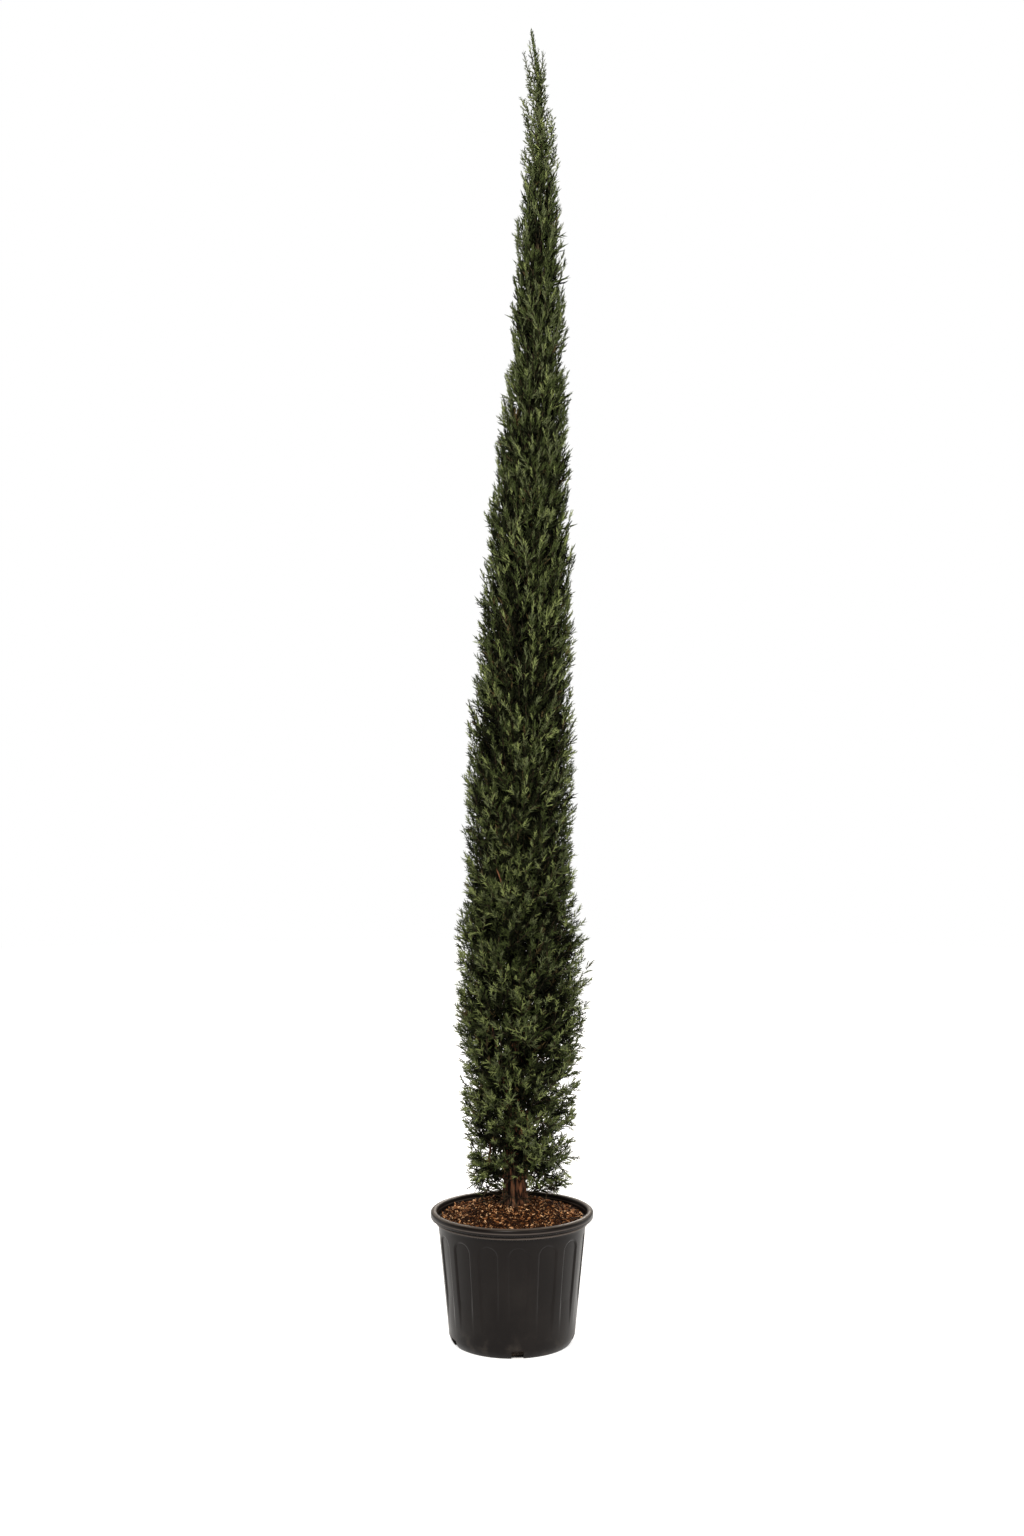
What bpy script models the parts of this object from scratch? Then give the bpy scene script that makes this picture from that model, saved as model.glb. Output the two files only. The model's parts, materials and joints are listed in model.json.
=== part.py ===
"""Potted columnar Italian cypress: a narrow conifer 2.21 m tall in a fluted nursery pot.

Metres, +Z up, front towards -Y. The origin is the centre of the pot's flat underside.
One trunk runs from the bark mulch to the leader. Its boughs leave it steeply in three winding
columns, and each bough carries one mass of foliage that keeps to its own space round the trunk.
"""

import itertools
import math
import random
from dataclasses import dataclass

import bmesh
import bpy
from mathutils import Matrix, Vector, geometry
from mathutils.bvhtree import BVHTree

CLEAR = 0.0003  # gap between solids that rest on each other

# Pot
POT_HEIGHT = 0.220
RIM_RADIUS = 0.137
WALL_TOP_RADIUS = 0.1245
WALL_TOP = 0.2003
WALL_FOOT_RADIUS = 0.1060
WALL_FOOT = 0.012
FOOT_RADIUS = 0.0987
WALL = 0.0022
FLOOR = 0.003
FLUTES = 15
FLUTE_COLUMNS = 4  # columns of points in each flute: its two edges and its floor's two sides
FLUTE_DEPTH = 0.0028
FLUTE_TURN = math.radians(5.0)  # one flute faces the front, a little to +X
FLUTE_HALF_WIDTH = math.radians(8.6)
FLUTE_FLOOR_SHARE = 0.62
FLUTE_TOP = 0.188
FLUTE_ARCH = 0.018
FLUTE_FOOT = 0.035
NOTCHES = 5
NOTCH_WIDTH = 0.020
NOTCH_HEIGHT = 0.0125
NOTCH_CUT = 0.030  # depth of the cutter, across the foot's wall

# Root ball and mulch
BALL_TOP = 0.190
FLAT_FACE_ROOM = 0.0010  # gap to the pot's wall, whose faces lie a little inside its true circle
MULCH_EDGE = 0.206
MULCH_TOP = 0.226
MULCH_FLAT_RADIUS = 0.037
MULCH_BUMP = 0.0014
MULCH_SIDES = 24

# Trunk
TRUNK_FOOT = MULCH_TOP + CLEAR
TRUNK_TOP = 1.950
TRUNK_RADIUS = 0.0195
TRUNK_TIP_RADIUS = 0.0028
TRUNK_TAPER = 0.9
FLARE = 0.0095
FLARE_HEIGHT = 0.016
LOBES = 3
LOBE_DEPTH = 0.13
LOBE_FADE = 0.22
LOBE_TURN = math.radians(-140.0)
TRUNK_SIDES = 10
TRUNK_RINGS = 12

# Lean of the tree: it drifts to +X as it rises, and the leader hooks back
LEAN_FOOT = 0.004
LEAN_RISE = 0.044
LEAN_FROM = 0.50
LEAN_TO = 2.00
HOOK = 0.017
HOOK_FROM = 2.03

# Crown
TIP = 2.21
CROWN_FLOOR = 0.243
CROWN_FOOT_RADIUS = 0.084
CROWN_WIDEST = 0.60
CROWN_RADIUS = 0.107
CROWN_TAPER = 0.75
COLUMNS = 3  # spaces that wind up round the trunk side by side
TIERS = 7  # masses in each column, their ends a third of a tier apart from column to column
FIRST_TIER = 0.260
LEADER_FOOT = 1.935
TIER_SHRINK = 0.92
TWIST = 0.9  # radians a metre
COLUMN_START = math.radians(-75.0)
SPACE_RISE = 1.5  # the spaces slope up and outwards, as the boughs do
SPACE_MARGIN = 0.0018
TRUNK_ROOM = 0.0045

# Boughs: each starts a little above the lower limit of its space and ends under its core
BOUGH_RADIUS_SHARE = 0.052
BOUGH_TAPER = 0.62
BOUGH_ELBOW = 0.6  # in radii
BOUGH_SLOPE = 1.8
BOUGH_BEND = 0.36
BOUGH_POINTS = 5
BOUGH_LIFT = 0.018
BOUGH_END_DROP = 0.004
LOWEST_BOUGH = 0.222
SEAT_SAMPLES = 8

# Core of each mass, in its own coordinates from -1 to 1: across, outwards and along the axis
CORE_LIFT = 0.038
LOWEST_CORE = 0.225
CORE_TOP_SHARE = 0.97
CORE_REACH = 0.68
CORE_SECTOR_SHARE = 0.84
CORE_LUMP = 0.09
CORE_BOXINESS = 0.6  # 1 is an ellipsoid, less is squarer
CORE_FOOT = (0.0, -0.1, -1.0)
CORE_HEART = (0.0, -0.1, -0.2)

# Twigs: each leaves the stem inside the core and forks into two, with a spray on each fork
TWIG_RADIUS = 0.0015
TWIG_SPACING = 0.039  # up the core
FEWEST_TWIGS = 3
LOWEST_TWIG = -0.72
HIGHEST_TWIG = 0.75
TWIG_SPREAD = 0.80  # share of the space's half angle that they fan out over
LOWEST_SLOPE = -0.8
STEEPEST = 2.3
STEEPER_ABOVE = 1.8
FORK = math.radians(24.0)
FORK_TILT = 0.5
STEM_RUN = 0.010
LIMB_ROOM = 0.0025

# Sprays: toothed blades, drawn larger than life
SPRAY_LENGTH = 0.105
SPRAY_HALF_WIDTH = 0.023
SPRAY_HALF_THICKNESS = 0.0016
SPRAY_HUB = 0.42
SPRAY_TEETH = ((1.00, 0.55), (0.36, 0.56), (0.55, 0.84))  # (across, along), right-hand side
SPRAY_SINK = 0.30  # share of its length that its twig runs into it
SMALLEST_SPRAY = 0.45
SPRAY_TRIES = 4
TOP_SPRAY_SHARE = 0.5

# Leader
LEADER_SPRAYS = 17
LEADER_TIP_RADIUS = 0.0007
LEADER_STEM_END = TIP - 0.012

GOLDEN_TURN = math.radians(137.5)
SEED = 2210

GREEN = (0.045, 0.062, 0.022)
BARK_BROWN = (0.085, 0.042, 0.022)
MULCH_BROWN = (0.110, 0.050, 0.024)
SOIL_BROWN = (0.045, 0.028, 0.018)
POT_BLACK = (0.030, 0.027, 0.025)


def smooth(share):
    """Ease from 0 to 1."""
    share = min(max(share, 0.0), 1.0)
    return share * share * (3 - 2 * share)


def mix(low, high, share):
    return low + (high - low) * share


def axis_at(height):
    """The tree's centre line at a height."""
    lean = LEAN_FOOT + LEAN_RISE * smooth((height - LEAN_FROM) / (LEAN_TO - LEAN_FROM))
    past = max(0.0, height - HOOK_FROM) / (TIP - HOOK_FROM)
    return Vector((lean - HOOK * past * past, 0.0, height))


def crown_radius(height):
    """The crown's mean outline: a short belly, then a long taper to the tip."""
    if height < CROWN_WIDEST:
        share = (height - CROWN_FLOOR) / (CROWN_WIDEST - CROWN_FLOOR)
        return mix(CROWN_FOOT_RADIUS, CROWN_RADIUS, smooth(share))
    left = (TIP - min(height, TIP)) / (TIP - CROWN_WIDEST)
    return CROWN_RADIUS * left**CROWN_TAPER


def trunk_radius(height):
    share = min(max((TRUNK_TOP - height) / (TRUNK_TOP - TRUNK_FOOT), 0.0), 1.0)
    flare = FLARE * math.exp(-(height - TRUNK_FOOT) / FLARE_HEIGHT)
    return mix(TRUNK_TIP_RADIUS, TRUNK_RADIUS, share**TRUNK_TAPER) + flare


def tier_foot(tier):
    """Height where a tier's space meets the tree's axis."""
    return mix(FIRST_TIER, LEADER_FOOT, (tier / TIERS) ** TIER_SHRINK)


def material(name, colour, roughness):
    made = bpy.data.materials.new(name)
    made.use_nodes = True
    shader = made.node_tree.nodes["Principled BSDF"]
    shader.inputs["Base Color"].default_value = (*colour, 1.0)
    shader.inputs["Roughness"].default_value = roughness
    shader.inputs["Metallic"].default_value = 0.0
    return made


def object_from(bm, name, collection, finish):
    mesh = bpy.data.meshes.new(name)
    bm.to_mesh(mesh)
    bm.free()
    obj = bpy.data.objects.new(name, mesh)
    collection.objects.link(obj)
    mesh.materials.append(finish)
    return obj


def loft(rings, name, collection, finish):
    """A closed solid through rings of the same number of points, each anticlockwise from above."""
    bm = bmesh.new()
    loops = [[bm.verts.new(point) for point in ring] for ring in rings]
    for low, high in zip(loops, loops[1:]):
        for i, corner in enumerate(low):
            j = (i + 1) % len(low)
            bm.faces.new((corner, low[j], high[j], high[i]))
    bm.faces.new(loops[0][::-1])
    bm.faces.new(loops[-1])
    bmesh.ops.triangulate(bm, faces=bm.faces)
    return object_from(bm, name, collection, finish)


# Pot


def wall_radius(height):
    """Outer radius of the pot's tapered wall, before fluting."""
    share = (height - WALL_FOOT) / (WALL_TOP - WALL_FOOT)
    return mix(WALL_FOOT_RADIUS, WALL_TOP_RADIUS, share)


def flute_share(height):
    """(width, depth) of a flute at a height, as shares: arched at the top, fading out below."""
    above = (height - (FLUTE_TOP - FLUTE_ARCH)) / FLUTE_ARCH
    width = math.sqrt(max(0.0, 1 - min(max(above, 0.0), 1.0) ** 2))
    if height > FLUTE_TOP or height < FLUTE_FOOT:
        return 1.0, 0.0
    return max(width, 0.25), smooth((height - FLUTE_FOOT) / (FLUTE_TOP - FLUTE_ARCH - FLUTE_FOOT))


def pot_profile():
    """(radius, height) points from the floor's centre inside, over the rolled rim, to the underside."""
    flute_rows = (0.186, 0.178, 0.168, 0.080, FLUTE_FOOT)
    inside = [(0.0, FLOOR), (FOOT_RADIUS - 0.002, FLOOR), (wall_radius(0.016) - WALL, 0.013)]
    inside += [(wall_radius(z) - WALL, z) for z in (FLUTE_FOOT, 0.080, 0.168, 0.186)]
    rim = [
        (WALL_TOP_RADIUS - WALL, 0.197),
        (RIM_RADIUS - 0.0105, 0.213),
        (RIM_RADIUS - 0.0075, POT_HEIGHT),
        (RIM_RADIUS - 0.0020, POT_HEIGHT - 0.0012),
        (RIM_RADIUS, POT_HEIGHT - 0.0065),
        (RIM_RADIUS - 0.0012, POT_HEIGHT - 0.0125),
        (RIM_RADIUS - 0.0080, POT_HEIGHT - 0.0065),
        (RIM_RADIUS - 0.0085, WALL_TOP + 0.0005),
    ]
    outside = [(WALL_TOP_RADIUS, WALL_TOP)]
    outside += [(wall_radius(z), z) for z in flute_rows]
    foot = [
        (WALL_FOOT_RADIUS, WALL_FOOT),
        (FOOT_RADIUS + 0.0045, 0.0035),
        (FOOT_RADIUS, 0.0),
        (0.0, 0.0),
    ]
    return inside + rim + outside + foot


def flute_pot(mesh):
    """Move the turned wall's columns to the flutes' edges and floors, and press the floors in."""
    pitch = 2 * math.pi / FLUTES
    offsets = (-1.0, -FLUTE_FLOOR_SHARE, FLUTE_FLOOR_SHARE, 1.0)
    for vertex in mesh.vertices:
        x, y, z = vertex.co
        radius = math.hypot(x, y)
        if radius < FOOT_RADIUS / 2:
            continue
        column = round(math.atan2(y, x) / pitch * FLUTE_COLUMNS)
        flute, place = divmod(column, FLUTE_COLUMNS)
        width, depth = flute_share(z)
        on_wall = radius < WALL_TOP_RADIUS + 0.0005
        angle = flute * pitch + offsets[place] * FLUTE_HALF_WIDTH * (width if on_wall else 1.0)
        angle += FLUTE_TURN - math.pi / 2
        if on_wall and place in (1, 2):
            radius -= FLUTE_DEPTH * depth
        vertex.co = (radius * math.cos(angle), radius * math.sin(angle), z)


def notch_cutters(collection):
    """Boxes through the foot of the wall, one under every third flute."""
    for i in range(NOTCHES):
        turn = Matrix.Rotation(2 * math.pi * i / NOTCHES + FLUTE_TURN, 4, "Z")
        bm = bmesh.new()
        bmesh.ops.create_cube(bm, size=1.0)
        bmesh.ops.scale(bm, vec=(NOTCH_WIDTH, NOTCH_CUT, 2 * NOTCH_HEIGHT), verts=bm.verts)
        bmesh.ops.translate(bm, vec=(0.0, -FOOT_RADIUS - NOTCH_CUT / 6, 0.0), verts=bm.verts)
        bmesh.ops.transform(bm, matrix=turn, verts=bm.verts)
        mesh = bpy.data.meshes.new(f"notch_cutter_{i + 1}")
        bm.to_mesh(mesh)
        bm.free()
        cutter = bpy.data.objects.new(mesh.name, mesh)
        cutter.hide_render = True
        cutter.display_type = "WIRE"
        collection.objects.link(cutter)


def build_pot(collection, cutters):
    """Injection-moulded pot with a rolled rim, arched flutes and drain notches."""
    profile = bpy.data.meshes.new("pot_profile")
    points = [(radius, 0.0, height) for radius, height in pot_profile()]
    profile.from_pydata(points, [(i, i + 1) for i in range(len(points) - 1)], [])
    turned = bpy.data.objects.new("pot_turned", profile)
    bpy.context.scene.collection.objects.link(turned)
    screw = turned.modifiers.new("turn", "SCREW")
    screw.steps = screw.render_steps = FLUTE_COLUMNS * FLUTES
    screw.use_merge_vertices = True
    screw.merge_threshold = 0.0001
    bpy.context.view_layer.update()
    graph = bpy.context.evaluated_depsgraph_get()
    mesh = bpy.data.meshes.new_from_object(turned.evaluated_get(graph))
    bpy.data.objects.remove(turned)
    flute_pot(mesh)
    pot = bpy.data.objects.new("pot", mesh)
    mesh.name = "pot"
    mesh.materials.append(material("pot_plastic", POT_BLACK, 0.45))
    collection.objects.link(pot)
    notch_cutters(cutters)
    notches = pot.modifiers.new("notches", "BOOLEAN")
    notches.operation = "DIFFERENCE"
    notches.operand_type = "COLLECTION"
    notches.collection = cutters
    mesh.shade_smooth()
    mesh.set_sharp_from_angle(angle=math.radians(40))
    return pot


# Root ball and mulch


def circle(radius, height, sides):
    return [
        (radius * math.cos(2 * math.pi * i / sides), radius * math.sin(2 * math.pi * i / sides), height)
        for i in range(sides)
    ]


def build_root_ball(collection):
    """Rooted potting mix that fills the pot, just clear of the flutes."""
    inset = WALL + FLUTE_DEPTH + FLAT_FACE_ROOM
    rings = [
        circle(FOOT_RADIUS - WALL - 0.004, FLOOR + CLEAR, MULCH_SIDES),
        circle(wall_radius(0.030) - inset, 0.030, MULCH_SIDES),
        circle(wall_radius(BALL_TOP) - inset, BALL_TOP - CLEAR, MULCH_SIDES),
    ]
    return loft(rings, "root_ball", collection, material("potting_mix", SOIL_BROWN, 0.95))


def build_mulch(collection):
    """A low mound of bark chips, level where the trunk stands."""
    rng = random.Random(SEED)
    foot = wall_radius(BALL_TOP) - WALL - FLUTE_DEPTH - FLAT_FACE_ROOM
    edge = wall_radius(BALL_TOP) - WALL - FLAT_FACE_ROOM
    rings = [circle(foot, BALL_TOP, MULCH_SIDES), circle(edge, WALL_TOP, MULCH_SIDES)]
    for share in (0.0, 0.25, 0.65):
        height = mix(MULCH_EDGE, MULCH_TOP, smooth(share))
        ring = circle(mix(edge, MULCH_FLAT_RADIUS, share), height, MULCH_SIDES)
        rings.append([(x, y, z + rng.uniform(-MULCH_BUMP, MULCH_BUMP)) for x, y, z in ring])
    rings.append(circle(MULCH_FLAT_RADIUS, MULCH_TOP, MULCH_SIDES))
    return loft(rings, "bark_mulch", collection, material("bark_chips", MULCH_BROWN, 0.9))


# Trunk and boughs


def build_trunk(collection, bark):
    """Fluted trunk with a root flare, from its flat foot to the leader."""
    near = [TRUNK_FOOT + rise for rise in (0.0, 0.008, 0.020, 0.045, 0.085, 0.15)]
    far = [mix(near[-1], TRUNK_TOP, (i + 1) / TRUNK_RINGS) for i in range(TRUNK_RINGS)]
    rings = []
    for height in near + far:
        lobe = LOBE_DEPTH * math.exp(-(height - TRUNK_FOOT) / LOBE_FADE)
        centre = axis_at(height)
        ring = []
        for i in range(TRUNK_SIDES):
            angle = 2 * math.pi * i / TRUNK_SIDES
            radius = trunk_radius(height) * (1 + lobe * math.cos(LOBES * (angle - LOBE_TURN)))
            ring.append(centre + Vector((radius * math.cos(angle), radius * math.sin(angle), 0.0)))
        rings.append(ring)
    return loft(rings, "trunk", collection, bark)


def limb(points, radii, name, collection, finish):
    """A tapering round limb along points, as a curve with filled ends."""
    curve = bpy.data.curves.new(name, "CURVE")
    curve.dimensions = "3D"
    curve.bevel_depth = 1.0
    curve.bevel_resolution = 0
    curve.use_fill_caps = True
    spline = curve.splines.new("POLY")
    spline.points.add(len(points) - 1)
    for target, point, radius in zip(spline.points, points, radii):
        target.co = (*point, 1.0)
        target.radius = radius
    obj = bpy.data.objects.new(name, curve)
    curve.materials.append(finish)
    collection.objects.link(obj)
    return obj


@dataclass
class Space:
    """The part of the crown that one mass keeps to, as limits on its level, radius and turn.

    A level is a height less the space's slope, so its limits rise outwards from the tree's axis.
    """

    foot: float
    top: float
    bough_level: float
    core_level: float
    heading: float
    half: float
    fullness: float

    @property
    def whole(self):
        """Whether the space goes all round the axis, past the trunk's tip."""
        return self.half >= math.pi

    def heading_at(self, height):
        return self.heading + TWIST * height

    def at(self, radius, height, turn=0.0):
        """A point at a radius from the tree's axis, turned from the space's heading."""
        angle = self.heading_at(height) + turn
        return axis_at(height) + radius * Vector((math.cos(angle), math.sin(angle), 0.0))

    def core_limits(self, level):
        """Inner and outer radius of the core at a level."""
        outer = crown_radius(level + 0.06) * CORE_REACH * self.fullness
        inner = trunk_radius(level) + TRUNK_ROOM + 0.001
        return inner, outer

    def core_point(self, across, out, along):
        """A point of the core from its own coordinates, each from -1 to 1."""
        top = mix(self.foot, self.top, CORE_TOP_SHARE)
        level = mix(self.core_level, top, (along + 1) / 2)
        inner, outer = self.core_limits(level)
        radius = mix(inner, outer, (out + 1) / 2)
        return self.at(radius, level + SPACE_RISE * radius, -across * self.half * CORE_SECTOR_SHARE)

    def holds(self, point, extra=1.0):
        """Whether a point lies in the space, clear of its limits."""
        offset = point - axis_at(point.z)
        radius = math.hypot(offset.x, offset.y)
        if not CROWN_FLOOR < point.z < TIP or radius > crown_radius(point.z) * self.fullness * extra:
            return False
        level = point.z - SPACE_RISE * radius
        if not self.foot + SPACE_MARGIN < level < self.top - SPACE_MARGIN:
            return False
        if self.whole:
            return True
        if radius < trunk_radius(point.z) + TRUNK_ROOM:
            return False
        turn = math.remainder(math.atan2(offset.y, offset.x) - self.heading_at(point.z), 2 * math.pi)
        left = self.half - abs(turn)
        return left > 0 and radius * math.sin(min(left, math.pi / 2)) > SPACE_MARGIN

    def room(self, start, direction, extra, step=0.003, most=0.30):
        """How far a straight twig from start can run before it leaves the space."""
        run = step
        while run < most and self.holds(start + direction * run, extra):
            run += step
        return run - step


def spaces():
    """The masses' spaces, column by column from the foot. The lowest have no slanted lower limit."""
    rng = random.Random(SEED + 1)
    made = []
    for column in range(COLUMNS):
        heading = COLUMN_START + column * 2 * math.pi / COLUMNS
        shift = (column - 1) / COLUMNS
        ends = [0.0, *(tier + shift for tier in range(1, TIERS)), TIERS]
        for tier in range(TIERS):
            foot = tier_foot(ends[tier])
            bough_level, core_level = foot + BOUGH_LIFT, foot + CORE_LIFT
            if tier == 0:
                foot, bough_level, core_level = 0.0, LOWEST_BOUGH, LOWEST_CORE
            top = tier_foot(ends[tier + 1])
            fullness = rng.uniform(0.96, 1.05)
            made.append(Space(foot, top, bough_level, core_level, heading, math.pi / COLUMNS, fullness))
    return made


def seat_on_trunk(trunk, start, heading, radius):
    """How far from the tree's axis a bough of that radius starts, just clear of the bark."""
    outward = Vector((math.cos(heading), math.sin(heading), 0.0))
    across = Vector((-outward.y, outward.x, 0.0))
    up = Vector((0.0, 0.0, 1.0))
    reach = 0.0
    sides = [i / SEAT_SAMPLES for i in range(-SEAT_SAMPLES, SEAT_SAMPLES + 1)]
    for side, rise in itertools.product(sides, (-1, 0, 1)):
        far = start + outward * 0.1 + (across * side + up * rise) * radius
        hit = trunk.ray_cast(far, -outward)[0]
        if hit is not None:
            reach = max(reach, (hit - start).dot(outward))
    return reach + CLEAR


def build_bough(space, trunk, name, collection, bark):
    """One steep limb from the trunk to the foot of its mass.

    Returns its points, its tip's radius and the direction in which it ends.
    """
    height = space.bough_level
    height += SPACE_RISE * trunk_radius(height)
    radius = BOUGH_RADIUS_SHARE * crown_radius(height)
    heading = space.heading_at(height)
    outward = Vector((math.cos(heading), math.sin(heading), 0.0))
    centre = axis_at(height)
    start = centre + outward * seat_on_trunk(trunk, centre, heading, radius)
    elbow = start + outward * (radius * BOUGH_ELBOW)
    tip = space.core_point(*CORE_FOOT) - Vector((0.0, 0.0, BOUGH_END_DROP))
    inward = (space.core_point(*CORE_HEART) - tip).normalized()
    pull = BOUGH_BEND * (tip - elbow).length
    rising = (outward + Vector((0.0, 0.0, BOUGH_SLOPE))).normalized()
    bend = geometry.interpolate_bezier(elbow, elbow + rising * pull, tip - inward * pull, tip, BOUGH_POINTS)
    points = [start, *bend]
    radii = [radius * mix(1.0, BOUGH_TAPER, i / BOUGH_POINTS) for i in range(len(points))]
    limb(points, radii, name, collection, bark)
    return points, radii[-1], (tip - points[-2]).normalized()


# Masses of foliage


def spray_mesh(finish):
    """A flat toothed plume along +Y: a cone on both sides of an outline drawn out to the teeth."""
    right = [
        Vector((across * SPRAY_HALF_WIDTH, along * SPRAY_LENGTH, 0.0)) for across, along in SPRAY_TEETH
    ]
    left = [Vector((-point.x, point.y, 0.0)) for point in reversed(right)]
    outline = [Vector((0.0, 0.0, 0.0)), *right, Vector((0.0, SPRAY_LENGTH, 0.0)), *left]
    bm = bmesh.new()
    bmesh.ops.create_cone(
        bm, segments=len(outline), radius1=1.0, radius2=0.0, depth=1.0, cap_ends=True, cap_tris=True
    )
    rim = [v for v in bm.verts if math.hypot(v.co.x, v.co.y) > 0.5]
    hubs = [v for v in bm.verts if v not in rim]
    rim.sort(key=lambda v: math.atan2(v.co.y, v.co.x))
    for vertex, point in zip(rim, outline):
        vertex.co = point
    for hub in hubs:
        hub.co = (0.0, SPRAY_HUB * SPRAY_LENGTH, math.copysign(SPRAY_HALF_THICKNESS, hub.co.z))
    mesh = bpy.data.meshes.new("spray")
    bm.to_mesh(mesh)
    bm.free()
    mesh.materials.append(finish)
    return mesh


def twig_mesh(finish):
    """A three-sided tapering twig along +Y, one unit long and one unit in radius."""
    bm = bmesh.new()
    bmesh.ops.create_cone(bm, segments=3, radius1=1.0, radius2=0.5, depth=1.0, cap_ends=True)
    bmesh.ops.translate(bm, vec=(0.0, 0.0, 0.5), verts=bm.verts)
    bmesh.ops.rotate(bm, matrix=Matrix.Rotation(-math.pi / 2, 3, "X"), verts=bm.verts)
    mesh = bpy.data.meshes.new("twig")
    bm.to_mesh(mesh)
    bm.free()
    mesh.materials.append(finish)
    return mesh


def pose(point, direction, roll):
    """A matrix that sets +Y along direction at point, rolled about it."""
    turn = direction.to_track_quat("Y", "Z").to_matrix().to_4x4()
    return Matrix.Translation(point) @ turn @ Matrix.Rotation(roll, 4, "Y")


class Mass:
    """One mass of foliage: a base solid with twigs and sprays, fused into one body."""

    def __init__(self, space, base, meshes, seed, limbs=()):
        self.space = space
        self.base = base
        self.twig_shape, self.spray_shape = meshes
        self.rng = random.Random(seed)
        self.limbs = limbs
        self.pieces = bpy.data.collections.new(base.name + "_pieces")
        bpy.context.scene.collection.children.link(self.pieces)

    def place(self, mesh, matrix):
        obj = bpy.data.objects.new(f"{self.base.name}_piece", mesh)
        obj.matrix_world = matrix
        self.pieces.objects.link(obj)

    def clear_of_limbs(self, point):
        for start, end, radius in self.limbs:
            run = end - start
            share = min(max((point - start).dot(run) / run.length_squared, 0.0), 1.0)
            if (point - (start + run * share)).length < radius:
                return False
        return True

    def twig(self, start, end, radius):
        run = end - start
        self.place(
            self.twig_shape,
            pose(start, run.normalized(), 0.0) @ Matrix.Diagonal((radius, run.length, radius, 1.0)),
        )

    def spray(self, root, direction, scale, extra):
        """Add one spray, unless a tooth of it would leave the space or touch a limb."""
        for _ in range(SPRAY_TRIES):
            matrix = pose(root, direction, self.rng.uniform(0, math.pi)) @ Matrix.Scale(scale, 4)
            teeth = [matrix @ v.co for v in self.spray_shape.vertices if v.co.y > 0.3 * SPRAY_LENGTH]
            if all(self.space.holds(tooth, extra * 1.04) and self.clear_of_limbs(tooth) for tooth in teeth):
                self.place(self.spray_shape, matrix)
                return True
        return False

    def shoot(self, fork, direction, scale, extra):
        """A twig from a fork in the core as far as the space allows, with a spray at its tip."""
        room = self.space.room(fork, direction, extra)
        scale = min(scale, room / SPRAY_LENGTH * 1.25)
        if scale < SMALLEST_SPRAY * crown_radius(fork.z) / CROWN_RADIUS:
            return False
        length = SPRAY_LENGTH * scale
        root = fork + direction * (room - length * 0.98)
        if not self.spray(root, direction, scale, extra):
            return False
        self.twig(fork, root + direction * length * SPRAY_SINK, TWIG_RADIUS * scale)
        return True

    def join(self):
        """Fuse the pieces to the base with one Boolean union, applied, and remove them."""
        union = self.base.modifiers.new("join", "BOOLEAN")
        union.operation = "UNION"
        union.operand_type = "COLLECTION"
        union.collection = self.pieces
        union.solver = "MANIFOLD"
        bpy.context.view_layer.update()
        graph = bpy.context.evaluated_depsgraph_get()
        mesh = bpy.data.meshes.new_from_object(self.base.evaluated_get(graph))
        self.base.modifiers.clear()
        self.base.data = mesh
        mesh.name = self.base.name
        for piece in list(self.pieces.objects):
            bpy.data.objects.remove(piece)
        bpy.data.collections.remove(self.pieces)


def build_core(space, name, collection, finish, rng):
    """A lumpy pod wrapped round the trunk inside the mass's space, for the twigs to stand out of."""
    bm = bmesh.new()
    bmesh.ops.create_icosphere(bm, subdivisions=2, radius=1.0)
    for vertex in bm.verts:
        across, out, along = (math.copysign(abs(c) ** CORE_BOXINESS, c) for c in vertex.co)
        lump = rng.uniform(-CORE_LUMP, CORE_LUMP) if out > 0 else 0.0
        vertex.co = space.core_point(across, min(out + lump, 1.0), along)
    return object_from(bm, name, collection, finish)


def build_mass(space, bough, name, collection, finish, meshes, seed):
    """Grow one mass from its bough's tip."""
    points, tip_radius, onward = bough
    limbs = [(a, b, tip_radius / BOUGH_TAPER + LIMB_ROOM) for a, b in zip(points, points[1:])]
    core = build_core(space, name, collection, finish, random.Random(seed))
    mass = Mass(space, core, meshes, seed + 1, limbs)
    foot = points[-1] + onward * CLEAR
    mass.twig(foot, foot + onward * STEM_RUN, tip_radius)
    mass.twig(foot + onward * STEM_RUN / 2, space.core_point(*CORE_HEART), tip_radius)
    count = max(FEWEST_TWIGS, round((space.top - space.core_level) / TWIG_SPACING))
    for i in range(count):
        turn = math.remainder(i * GOLDEN_TURN, 2 * math.pi) / math.pi
        along = mix(LOWEST_TWIG, HIGHEST_TWIG, (i + 0.5) / count)
        fork_twig(mass, space.core_point(-turn / 2, 0.1, along), turn * TWIG_SPREAD, i / (count - 1))
    mass.join()


def fork_twig(mass, fork, turn, share):
    """Two shoots from a fork, turned to one side of the space and steeper the higher their share."""
    space, rng = mass.space, mass.rng
    heading = space.heading_at(fork.z) + turn * space.half
    outward = Vector((math.cos(heading), math.sin(heading), 0.0))
    across = Vector((-outward.y, outward.x, 0.0))
    gentlest = SPACE_RISE if space.foot > 0 else LOWEST_SLOPE
    steepest = STEEPEST * mix(1.0, STEEPER_ABOVE, smooth(fork.z - CROWN_WIDEST))
    aim = (outward + Vector((0.0, 0.0, mix(gentlest, steepest, share**0.7)))).normalized()
    lift = aim.cross(across)
    size = mix(TOP_SPRAY_SHARE, 1.0, crown_radius(fork.z) / CROWN_RADIUS)
    for sign in (1, -1):
        spread = sign * (across + lift * rng.uniform(-FORK_TILT, FORK_TILT)).normalized()
        direction = (aim + spread * math.tan(FORK) * rng.uniform(0.7, 1.2)).normalized()
        mass.shoot(fork, direction, size * rng.uniform(0.88, 1.12), rng.uniform(0.95, 1.08))


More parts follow.
